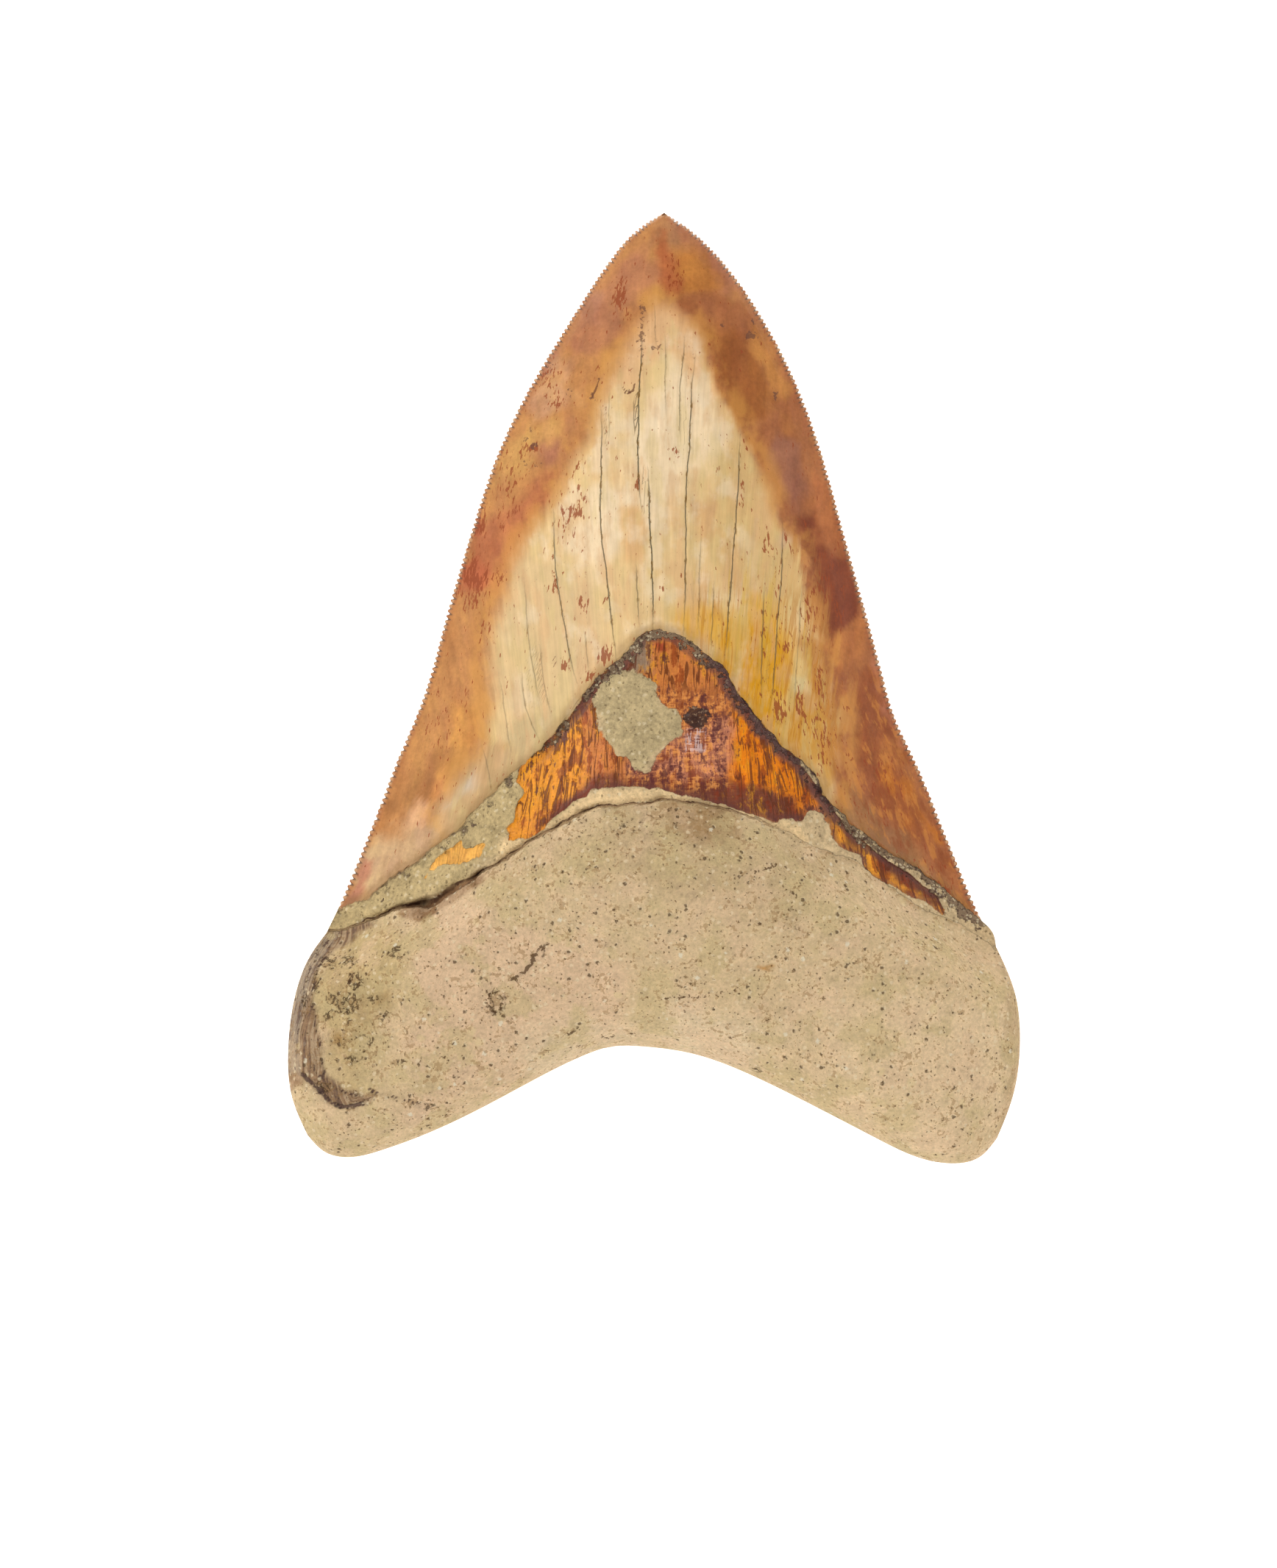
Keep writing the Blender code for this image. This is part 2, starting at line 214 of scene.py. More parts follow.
def patch_field(x, y, outline):
    """Distance to a closed outline, positive inside, where a level ray crosses an odd number of sides."""
    closed = np.array([*outline, outline[0]], float)
    inside = np.zeros(np.shape(x), bool)
    for (x0, y0), (x1, y1) in zip(closed[:-1], closed[1:]):
        if y0 != y1:
            spans = (y0 > y) != (y1 > y)
            inside ^= spans & (x < x0 + (y - y0) * (x1 - x0) / (y1 - y0))
    return np.where(inside, 1, -1) * line_field(x, y, closed)[0]


# %% [markdown]
# ## Where each tissue lies
#
# Enamel covers the crown, the amber band shows through below it, and the root fills the rest. Sediment has
# stuck to the neck: a grey-green strip on the left, a patch on the band, and a fringe along the crevice. Each
# zone is a signed distance in millimetres, positive inside, roughened so that its edge crumbles. The relief
# below and the colours later read the same distances.

# %% The zones
AMBER_BAND = [
    (-20.6, -14.0), (-18.8, -15.5), (-20.2, -18.0), (-21.3, -21.0), (-21.0, -22.3), (-18.4, -22.2),
    (-16.0, -20.6), (-13.6, -18.4), (-11.3, -17.0), (-9.3, -15.4), (-5.5, -14.7), (-2.7, -14.5), (2.9, -15.4),
    (8.0, -16.6), (11.4, -18.0), (14.2, -18.7), (17.1, -19.8), (21.8, -19.8), (22.6, -18.1), (24.8, -18.4),
    (25.5, -20.4), (26.4, -23.2), (30.2, -24.4), (30.8, -27.3), (34.2, -28.8), (36.9, -30.6), (39.1, -31.3),
    (42.7, -33.5), (41.7, -30.9), (37.6, -27.2), (32.4, -24.2), (27.8, -19.9), (23.5, -13.8), (19.7, -9.3),
    (15.3, -4.4), (12.5, 0.5), (11.0, 4.0), (6.9, 8.0), (2.3, 10.2), (-0.2, 10.6), (-3.9, 8.5), (-6.9, 5.4),
    (-10.7, 1.6), (-13.4, -3.3), (-18.3, -8.2),
]
AMBER_ISLAND = [
    (-28.2, -22.2), (-27.5, -23.6), (-24.9, -23.2), (-25.6, -24.8), (-27.3, -25.6), (-31.1, -26.0),
    (-32.9, -27.4), (-33.6, -28.1), (-33.2, -26.7), (-31.7, -25.0), (-30.1, -23.6),
]
SEDIMENT_PATCH = [
    (-6.2, 2.1), (-3.1, 2.4), (0.4, 1.0), (0.9, -2.8), (3.9, -3.3), (4.5, -7.1), (1.7, -8.7), (-0.4, -10.9),
    (-1.0, -12.3), (-2.8, -12.3), (-4.2, -10.4), (-7.0, -8.7), (-8.0, -5.5), (-8.8, -2.2), (-8.0, -0.1),
]
DARK_NODULE, NODULE_REACH = (6.0, -4.6), (2.0, 1.75)
FAR_OUTSIDE = -50.0


def run_on(line, left, right):
    """A smooth curve through a line's points, run on level past both ends."""
    return np.concatenate([[left], smooth_curve(line, 110), [right]])


def zones(x, y, labial):
    """Signed distances into each zone, in millimetres, with a crumbled edge."""
    crumble = 0.30 * rough(x, y, 2.2, seed=11) + 0.12 * rough(x, y, 0.8, seed=12, octaves=2)
    labial_above = 0.95 * (y - labial_line_y(x)) + 0.6 * crumble
    to_enamel, enamel_side, _ = line_field(x, y, run_on(ENAMEL_LINE, (-60, -33.5), (60, -35)))
    to_root, root_side, _ = line_field(x, y, run_on(ROOT_LINE, (-60, -35.6), (60, -37.4)))
    lingual_root = -to_root * root_side - 0.5 * crumble + 0.3 * rough(x, y, 3.2, seed=13)
    amber = np.maximum(patch_field(x, y, AMBER_BAND), patch_field(x, y, AMBER_ISLAND)) + crumble
    patch = patch_field(x, y, SEDIMENT_PATCH) + 1.6 * crumble
    nodule = 1 - np.hypot((x - DARK_NODULE[0]) / NODULE_REACH[0], (y - DARK_NODULE[1]) / NODULE_REACH[1])
    return {
        "enamel": np.where(labial, labial_above, to_enamel * enamel_side + 0.9 * crumble),
        "root": np.where(labial, -labial_above, lingual_root),
        "amber": np.where(labial, FAR_OUTSIDE, amber),
        "patch": np.where(labial, FAR_OUTSIDE, patch),
        "nodule": np.where(labial, -1, nodule + 0.35 * crumble),
    }


# %% [markdown]
# ## The lingual face
#
# Across the crown the face is a lens, thick in the middle and hollowed slightly towards each cutting edge.
# The root is a pillow with a boss in the middle, and its rim is a quarter circle. On top of that come the
# steps of a real fossil: the enamel stands proud of the band, a crevice opens along the root's upper edge,
# and the left lobe has a shallow bowl whose rim breaks down in thin layers.

# %% Heights along the tooth
OUTLINE_HEIGHT = [
    (-70, 8.6), (-58, 8.6), (-46, 7.6), (-36, 5.2), (-24, 3.8), (0, 3.0), (30, 2.4), (70, 1.4),
]
CROWN_RIDGE = [
    (-50, 25.0), (-16, 24.0), (8, 20.4), (30, 15.0), (50, 9.0), (62, 5.0), (67.5, 2.8), (70, 1.6),
]
CROWN_UNDERSIDE = [
    (-50, 1.2), (-30, 0.9), (0, 1.1), (30, 0.6), (48, 0.0), (54, -0.25), (60, -0.1), (70, 1.2),
]
SHOULDER_HEIGHT = 19.5
BOSS_RISE, BOSS_CENTRE, BOSS_REACH = 8.8, (1.0, -25.0), (27.0, 19.0)
LOBE_FALL, LOBE_START, LOBE_RUN = 4.0, 28.0, 26.0
HOLLOW_DEPTH, HOLLOW_CENTRE, HOLLOW_REACH = 1.5, (-43.5, -48.0), (8.0, 11.0)
LINGUAL_ROUNDING, LABIAL_ROUNDING = 10.0, 7.0
ROOT_ARCH_RISE, ROOT_ARCH_CENTRE, ROOT_ARCH_REACH = 3.2, (0.0, -46.0), (15.0, 13.0)
LOBE_SINK = 0.3
ROOT_WAVES, ROOT_LUMPS, HOLLOW_LUMPS, LAYER_RIDGES = 0.35, 0.22, 0.30, 0.12
LEDGE_RISE, ENAMEL_STEP, ENAMEL_LIP, LIP_REACH = 1.1, 0.4, 0.35, 0.8
BARE_NECK_RISE, BARE_NECK_LUMPS = 0.35, 0.18
PATCH_RISE, NODULE_RISE = 0.42, 0.5
LINGUAL_GRIT, GROWTH_RIBS = 0.10, 0.05
LABIAL_STEP, LABIAL_LUMPS, LABIAL_GRIT = 0.6, 0.12, 0.08
CROWN_BLEND, LABIAL_BLEND = 9.0, 8.0


def height_at(stations, y):
    """A height read from stations along y, averaged over 8 mm so that the profile has no corners."""
    ys, heights = np.array(stations, float).T
    return np.mean([np.interp(y + offset, ys, heights) for offset in np.linspace(-4, 4, 9)], axis=0)


def root_depth(x, y):
    """How far inside the root's outline a point lies."""
    sides = [smooth_curve(line, 30) for line in (LEFT_LOBE_SIDE[::-1], RIGHT_LOBE_SIDE)]
    return line_field(x, y, np.concatenate([sides[0][:-1], smooth_curve(BASE_LINE, 120), sides[1][1:]]))[0]


def rounded_rim(depth, radius):
    """A quarter circle: 0 at the rim, and 1 from one radius inside it."""
    return np.sqrt(1 - (1 - np.clip(depth / radius, 0, 1)) ** 2)


def across_crown(x, y):
    """The place across the crown, from -1 on the left cutting edge to 1 on the right."""
    left = smooth_curve(LEFT_EDGE, 300)
    right = smooth_curve(RIGHT_EDGE, 300)
    x_left = np.interp(y, left[:, 1], left[:, 0])
    x_right = np.interp(y, right[:, 1], right[:, 0])
    return np.clip((2 * x - x_left - x_right) / np.maximum(x_right - x_left, 1e-6), -1, 1)


# %% The crevice and the broken layers
CREVICE = [
    (-46.6, 0.25, 0.4), (-40, 0.3, 0.6), (-37.5, 0.5, 1.2), (-33, 0.75, 1.9), (-30, 0.7, 1.7),
    (-27.5, 0.45, 1.1), (-24, 0.3, 0.8), (-8, 0.25, 0.6), (6, 0.22, 0.5), (14, 0.2, 0.35), (20, 0.16, 0.15),
    (25, 0.15, 0.0),
]
LAYER_BREAKS = [
    (0.40, [(-45.8, -38.0), (-46.9, -38.6), (-48.1, -39.6), (-49.1, -40.7), (-49.7, -42.9), (-50.1, -44.5),
            (-50.3, -46.4), (-49.7, -48.3), (-49.6, -50.2), (-48.9, -52.1), (-48.7, -54.8), (-48.0, -57.2),
            (-46.1, -58.7)]),
    (0.30, [(-46.6, -36.7), (-48.3, -37.7), (-49.6, -39.4), (-50.7, -41.8), (-51.4, -44.5), (-51.8, -46.7),
            (-52.1, -49.4), (-52.3, -52.1), (-52.0, -53.7)]),
    (0.75, [(-52.3, -56.0), (-51.1, -57.2), (-49.3, -58.8), (-48.0, -60.2), (-46.6, -61.3), (-44.7, -61.5),
            (-43.1, -61.3), (-41.0, -60.8)]),
    (0.45, [(-50.1, -54.8), (-49.3, -56.7), (-48.0, -57.7), (-46.4, -58.8), (-45.3, -59.4), (-43.9, -59.8),
            (-41.5, -60.1)]),
    (0.40, [(-42.6, -58.5), (-40.7, -59.2), (-38.5, -59.9), (-36.4, -60.4), (-34.7, -61.1), (-33.1, -61.7)]),
    (0.15, [(-32.3, -61.3), (-30.4, -61.5), (-28.8, -61.4), (-26.6, -61.2)]),
]
LAYER_RECOVERY = 3.5
LAYERED_RIM = [
    (-46.6, -34.9), (-51.9, -38.6), (-54.3, -42.9), (-55.4, -48.3), (-55.9, -53.7), (-54.7, -56.5),
    (-52.3, -56.4), (-49.9, -58.8), (-47.7, -61.0), (-45.8, -61.5), (-43.4, -61.5), (-41.2, -61.0),
    (-40.7, -59.9), (-42.9, -59.4), (-45.8, -58.5), (-48.0, -56.9), (-48.7, -54.8), (-48.9, -51.5),
    (-49.6, -49.4), (-49.6, -47.7), (-50.1, -46.4), (-49.7, -42.9), (-48.8, -40.4), (-46.9, -38.8),
    (-44.7, -37.5), (-43.4, -36.4), (-41.2, -35.0), (-42.3, -34.2), (-44.5, -35.0),
]


def crevice_shape(x):
    """The crevice's half-width and depth at x."""
    at, width, depth = np.array(CREVICE).T
    return np.interp(x, at, width), np.interp(x, at, depth)


def layer_steps(x, y):
    """At each break the surface drops left of the line, then climbs back as e to the minus distance."""
    drop = np.zeros(np.shape(x))
    dark = np.zeros(np.shape(x))
    for height, line in LAYER_BREAKS:
        distance, side, passed = line_field(x, y, smooth_curve(line, 40))
        distance = distance * side + 0.16 * rough(x, y, 1.5, seed=21)
        ends = ease(passed / 0.12) * ease((1 - passed) / 0.12)
        drop += height * ends * ease(distance / 0.3 + 0.5) * np.exp(-np.maximum(distance, 0) / LAYER_RECOVERY)
        # dark: a painted shade at the foot of each step, stronger where the step is higher, mixed with dark
        # infill in the break
        width = 0.14 + 0.3 * height
        dark = np.maximum(dark, (0.35 + 0.8 * height) * ends * np.exp(-(((distance - 0.1) / width) ** 2)))
    return drop, dark


def rim_layers(x, y):
    """How strongly the layers show (1 inside the rim), and the depth inside the outline that they follow."""
    share = ease(0.5 + (patch_field(x, y, LAYERED_RIM) + 0.3 * rough(x, y, 1.5, seed=23)) / 0.8)
    return share, root_depth(x, y) + 0.25 * rough(x, y, 4.0, seed=24)


# %% Height of the lingual face
def root_top(x, y, outline_height):
    """The root's upper face: boss, lobes, bowl, broken layers and a gritty surface inside a rounded rim."""
    boss = BOSS_RISE * hump(x, y, BOSS_CENTRE, BOSS_REACH)
    fall = LOBE_FALL * ease((np.abs(x) - LOBE_START) / LOBE_RUN)
    waves = ROOT_WAVES * np.sin(x / 6.1 + y / 9.3) * np.sin(y / 5.2 - x / 13.0)
    hollow = HOLLOW_DEPTH * ease(1.8 * hump(x, y, HOLLOW_CENTRE, HOLLOW_REACH) - 0.3)
    in_hollow = ease(3 * hump(x, y, HOLLOW_CENTRE, HOLLOW_REACH) - 0.6)
    swell = SHOULDER_HEIGHT + boss - fall + waves - hollow - layer_steps(x, y)[0]
    swell += ROOT_LUMPS * rough(x, y, 9.0, seed=31) + in_hollow * HOLLOW_LUMPS * rough(x, y, 2.4, seed=32)
    layered, layer_depth = rim_layers(x, y)
    swell += LAYER_RIDGES * layered * np.sin(layer_depth * 7.0)
    return outline_height + (swell - outline_height) * rounded_rim(root_depth(x, y), LINGUAL_ROUNDING)


def lingual_height(x, y, zone):
    """Lens across the crown, pillow over the root, eased together over 9 mm, plus the relief of the neck."""
    outline_height = height_at(OUTLINE_HEIGHT, y)
    lens = (1 - np.abs(across_crown(x, y)) ** 2.1) ** 1.25
    crown = outline_height + (height_at(CROWN_RIDGE, y) - outline_height) * lens
    in_root = ease((line_y(ROOT_LINE, x) - y) / CROWN_BLEND)
    inner = np.minimum(lens * 6, 1)
    height = crown + (root_top(x, y, outline_height) - crown) * in_root
    width, depth = crevice_shape(x)
    ledge = ease((26.0 - x) / 14.0) * ease(0.5 + zone["root"] / 0.6)
    height += LEDGE_RISE * ledge * (1 - in_root) * inner
    groove_place = (zone["root"] + 0.5 * width + 0.22 * rough(x, y, 1.3, seed=47)) / np.maximum(width, 0.4)
    groove = np.exp(-np.clip(groove_place, -4, 4) ** 2)
    height -= depth * (1 + 0.6 * rough(x, y, 2.2, seed=48)) * groove * inner
    neck = ease(1 - zone["root"] / 0.5) * inner
    height += ENAMEL_STEP * ease(zone["enamel"] / 0.5 + 0.5) * neck
    lip = ENAMEL_LIP * np.exp(-((zone["enamel"] / LIP_REACH) ** 2))
    height += lip * (1 + 0.8 * rough(x, y, 1.3, seed=41)) * neck
    bare_neck = neck * ease(-zone["enamel"] / 0.4) * ease(1 - zone["amber"] / 0.35)
    height += bare_neck * (BARE_NECK_RISE + BARE_NECK_LUMPS * rough(x, y, 1.6, seed=42))
    patch = PATCH_RISE * ease(zone["patch"] / 0.5 + 0.5)
    height += patch * (1 + 0.35 * rough(x, y, 1.8, seed=43)) * neck
    height += NODULE_RISE * ease(zone["nodule"] / 0.4) * (1 + rough(x, y, 0.9, seed=44))
    grit = LINGUAL_GRIT * rough(x, y, 1.4, seed=45) * ease(zone["root"] / 0.4)
    ribs = GROWTH_RIBS * rough(x, y / 14, 1.8, seed=46) * ease(zone["enamel"] / 2.0)
    return height + (grit + ribs) * inner


# %% [markdown]
# ## The labial face
#
# The hidden face is nearly flat. It is finished all the same: enamel that ends at one arch with a small step,
# a root that is slightly hollow between its lobes, and three places cut level where the tooth rests.

# %% Height of the labial face
def labial_height(x, y, zone):
    """A shallow lens below the outline, an arched root, and nothing lower than the resting surface."""
    outline_height = height_at(OUTLINE_HEIGHT, y)
    lens = (1 - np.abs(across_crown(x, y)) ** 2.6) ** 0.95
    inner = np.minimum(lens * 4, 1)
    step = LABIAL_STEP * ease(0.5 - zone["enamel"] / 0.6) * inner
    crown = outline_height - (outline_height - height_at(CROWN_UNDERSIDE, y)) * lens + step
    arch = ROOT_ARCH_RISE * hump(x, y, ROOT_ARCH_CENTRE, ROOT_ARCH_REACH) - LOBE_SINK
    arch = arch + LABIAL_LUMPS * rough(x, y, 5.0, seed=51)
    root = outline_height - (outline_height - arch) * rounded_rim(root_depth(x, y), LABIAL_ROUNDING)
    in_root = ease((labial_line_y(x) - y) / LABIAL_BLEND)
    grit = LABIAL_GRIT * rough(x, y, 1.6, seed=52) * ease(zone["root"] / 0.4) * inner
    return np.maximum(crown + (root - crown) * in_root + grit, 0)


# %% [markdown]
# ## The grid
#
# Each face is a grid of rows from the left side to the right and columns from the base to the tip. Rows bend
# to follow the base, the root line and the chevron, and crowd where the surface turns quickly. The grid
# stops a little inside the cutting edges. There a narrow ribbon takes over, with six points for every
# serration, because only the edge itself needs such small steps.

# %% Rows and columns
ROOT_ROWS, NECK_ROWS, CROWN_ROWS = 104, 56, 150
LINGUAL_COLUMNS, LABIAL_COLUMNS = 208, 52
POINTS_PER_SERRATION = 6
TIP_PITCH_SHARE = 0.76
RIBBON_WIDTH, RIBBON_LINES = 1.3, 3
SERRATION_DEPTH, SERRATION_GROOVE = 0.34, 0.22
EDGE_LENGTH = 113.0
LABIAL_ROW_LIFT = 2.0


def spaced(count, start_crowding, end_crowding):
    """count + 1 fractions from 0 to 1, whose steps shrink as e to the minus distance from a crowded end."""
    t = (np.arange(count) + 0.5) / count
    steps = 1 - start_crowding * np.exp(-t / 0.12) - end_crowding * np.exp(-(1 - t) / 0.12)
    return np.concatenate([[0], np.cumsum(steps)]) / steps.sum()


def edge_fractions(count):
    """count + 1 fractions along a cutting edge, with steps that shrink evenly towards the tip."""
    steps = np.linspace(1, TIP_PITCH_SHARE, count)
    return np.concatenate([[0], np.cumsum(steps)]) / steps.sum()


ROOT_SPACING = spaced(ROOT_ROWS, 0.88, 0.7)
NECK_SPACING = spaced(NECK_ROWS, 0.6, 0.6)
serration_pitch = EDGE_LENGTH / CROWN_ROWS
print("serrations:", CROWN_ROWS, "per edge, about", round(serration_pitch, 2), "mm apart")


# %% One cutting edge
def cutting_edge(edge, inward, seed):
    """A ribbon along one edge: its lines of points, and how deep each lies in a notch between serrations."""
    count = CROWN_ROWS * POINTS_PER_SERRATION
    line = even_points(smooth_curve(edge, 1200), edge_fractions(count))
    along = np.gradient(line, axis=0)
    across = np.stack([-along[:, 1], along[:, 0]], axis=1) * inward
    across /= np.linalg.norm(across, axis=1)[:, None]
    walked = np.concatenate([[0], np.cumsum(np.linalg.norm(np.diff(line, axis=0), axis=1))])
    to_end = np.minimum(walked, walked[-1] - walked)
    width = np.minimum(RIBBON_WIDTH, 0.45 * to_end)
    place = np.arange(count + 1) / POINTS_PER_SERRATION
    wear = np.random.default_rng(seed).uniform(0.55, 1.25, CROWN_ROWS + 2)
    notch = np.abs(np.cos(np.pi * place)) ** 3 * wear[np.round(place).astype(int)]
    notch *= ease(to_end / 2.0)
    share = np.linspace(0, 1, RIBBON_LINES + 1)[:, None]
    inset = width * share + SERRATION_DEPTH * notch * (1 - share) ** 1.5
    points = line + across * inset[..., None]
    return points, notch * (1 - share) ** 1.5


left_ribbon, left_notch = cutting_edge(LEFT_EDGE, -1, seed=61)
right_ribbon, right_notch = cutting_edge(RIGHT_EDGE, 1, seed=62)


# %% The two grids seen from above
def grid_side(lobe_side, neck, ribbon):
    """One side of a grid, a point per row: up the lobe, over the neck, then up the ribbon's inner line."""
    lobe = even_points(smooth_curve(lobe_side, 600), ROOT_SPACING)
    between = smooth_curve(neck, NECK_ROWS + 1)
    return np.concatenate([lobe[:-1], between[:-1], ribbon[-1][::POINTS_PER_SERRATION]])


def face_grid(root_line_y, enamel_line_y, columns):
    """x and y of a face: straight rows between the sides, plus a bend that each line hands on to the next.

    A bend is the line's height over the straight row, less the straight line through its own two ends. So it
    is 0 at both sides, and the two faces share one outline."""
    left = grid_side(LEFT_LOBE_SIDE, LEFT_NECK, left_ribbon)
    right = grid_side(RIGHT_LOBE_SIDE, RIGHT_NECK, right_ribbon)
    across = spaced(columns, 0.88, 0.88)
    x = left[:, :1] + (right[:, :1] - left[:, :1]) * across
    chord = left[:, 1:] + (right[:, 1:] - left[:, 1:]) * across
    neck, enamel = ROOT_ROWS, ROOT_ROWS + NECK_ROWS
    rises = (line_y(BASE_LINE, x[0]), root_line_y(x[neck]), enamel_line_y(x[enamel]))
    base_bend, root_bend, enamel_bend = (rise - rise[0] - (rise[-1] - rise[0]) * across for rise in rises)
    bend = np.zeros_like(x)
    bend[: neck + 1] = base_bend + (root_bend - base_bend) * ROOT_SPACING[:, None]
    bend[neck : enamel + 1] = root_bend + (enamel_bend - root_bend) * NECK_SPACING[:, None]
    bend[enamel:] = enamel_bend * (1 - np.linspace(0, 1, CROWN_ROWS + 1)[:, None]) ** 1.7
    return x, chord + bend


upper_x, upper_y = face_grid(
    lambda x: line_y(ROOT_LINE, x), lambda x: line_y(ENAMEL_LINE, x), LINGUAL_COLUMNS
)
lower_x, lower_y = face_grid(labial_line_y, lambda x: labial_line_y(x) + LABIAL_ROW_LIFT, LABIAL_COLUMNS)
print("grids:", upper_x.shape, "lingual and", lower_x.shape, "labial")

# %% [markdown]
# ## One closed mesh
#
# The points of both grids and all ribbons go into one list. Where two parts meet they repeat the same places,
# so welding the doubles afterwards closes the surface. Where a fine line meets a coarse one, a face simply
# takes in all the fine points on that side, so no gap can open between them.

# %% Collect the points
sheets = []
point_total = 0


def add_sheet(x, y, labial, notch=0.0, on_outline=False):
    """Adds a sheet of points, and gives their numbers in the shape of x."""
    global point_total
    numbers = np.arange(point_total, point_total + x.size).reshape(x.shape)
    point_total += x.size
    flags = np.broadcast_to(np.array(on_outline), x.shape).copy()
    sheets.append([x, y, np.full(x.shape, labial), np.broadcast_to(notch, x.shape), flags])
    return numbers


def rim_flags(shape):
    """Marks a grid's points on the tooth's outline: the base row, both sides below the crown, and the tip."""
    flags = np.zeros(shape, bool)
    flags[0] = flags[-1] = True
    flags[: ROOT_ROWS + NECK_ROWS + 1, [0, -1]] = True
    return flags


upper = add_sheet(upper_x, upper_y, False, on_outline=rim_flags(upper_x.shape))
lower = add_sheet(lower_x, lower_y, True, on_outline=rim_flags(lower_x.shape))
ribbons = []
for ribbon, notch in ((left_ribbon, left_notch), (right_ribbon, right_notch)):
    edge_flags = np.zeros(ribbon.shape[:2], bool)
    edge_flags[0] = edge_flags[:, 0] = edge_flags[:, -1] = True
    for labial in (False, True):
        ribbons.append(add_sheet(ribbon[..., 0], ribbon[..., 1], labial, notch, edge_flags))

x, y, labial, notch, on_outline = (
    np.concatenate([np.ravel(sheet[k]) for sheet in sheets]) for k in range(5)
)
zone = zones(x, y, labial)
groove = SERRATION_GROOVE * notch
top = lingual_height(x, y, zone) - groove
bottom = np.minimum(labial_height(x, y, zone) + groove, top - 0.01)
z = np.where(on_outline, height_at(OUTLINE_HEIGHT, y), np.where(labial, bottom, top))
print(point_total, "points, thickest", round(float(z.max()), 1), "mm")


# %% Join them with faces
def quads(grid):
    """The four corners of each cell, anticlockwise in the grid's own directions."""
    cells = np.stack([grid[:-1, :-1], grid[:-1, 1:], grid[1:, 1:], grid[1:, :-1]], axis=-1)
    return cells.reshape(-1, 4)


def mixed_cells(fine, coarse):
    """Cells between a fine line and a coarse one: each takes a run of fine points and two coarse corners."""
    step = (len(fine) - 1) // (len(coarse) - 1)
    runs = np.stack([fine[k : len(fine) - step + k : step] for k in range(step + 1)], axis=1)
    return np.concatenate([runs, coarse[1:, None], coarse[:-1, None]], axis=1)


crown = ROOT_ROWS + NECK_ROWS
left_up, left_down, right_up, right_down = ribbons
faces = []
faces += quads(upper[: crown + 1]).tolist() + quads(upper[crown:, 1:-1]).tolist()
faces += quads(lower[1 : crown + 1, ::-1]).tolist() + quads(lower[crown:, -2:0:-1]).tolist()
for ribbon, flipped in ((left_up, True), (left_down, False), (right_up, False), (right_down, True)):
    faces += quads(ribbon[:, ::-1] if flipped else ribbon).tolist()
for fine, coarse, flipped in (
    (left_up[-1], upper[crown:, 1], True),
    (left_down[-1], lower[crown:, 1], False),
    (right_up[-1], upper[crown:, -2], False),
    (right_down[-1], lower[crown:, -2], True),
    (upper[0], lower[1], True),
):
    cells = mixed_cells(fine, coarse)
    faces += (cells[:, ::-1] if flipped else cells).tolist()
print(len(faces), "faces before welding")

# %% [markdown]
# ## Painting by zones
#
# The broad colours change slowly, so they are mixed here for every point of the mesh and stored as colour
# attributes. Each patch has a colour, a soft ragged edge of some width and an outline, and later patches lie
# over earlier ones, like washes of watercolour. Fine streaks, grains and cracks come later, in the material.

# %% Colours and washes
LIGHT_SHARE = 0.86
WASH_STRENGTH = 0.95


def tone(red, green, blue):
    """A colour as a screen shows it, 0 to 255, made linear and darkened to leave room for bright light."""
    share = np.array([red, green, blue]) / 255
    return LIGHT_SHARE * np.where(share < 0.04045, share / 12.92, ((share + 0.055) / 1.055) ** 2.4)


def wash(base, patches, x, y, seed):
    """Lays patches over a base colour: a share eases from 0 to 1 over a soft width, shifted at random."""
    colour = np.broadcast_to(base, (len(x), 3)).copy()
    for number, (paint, soft, outline) in enumerate(patches.values()):
        shift = 0.6 * soft * rough(x, y, 1.5 + soft, seed + number, octaves=4)
        share = WASH_STRENGTH * ease(0.5 + (patch_field(x, y, outline) + shift) / soft)
        colour += (paint - colour) * share[:, None]
    return colour


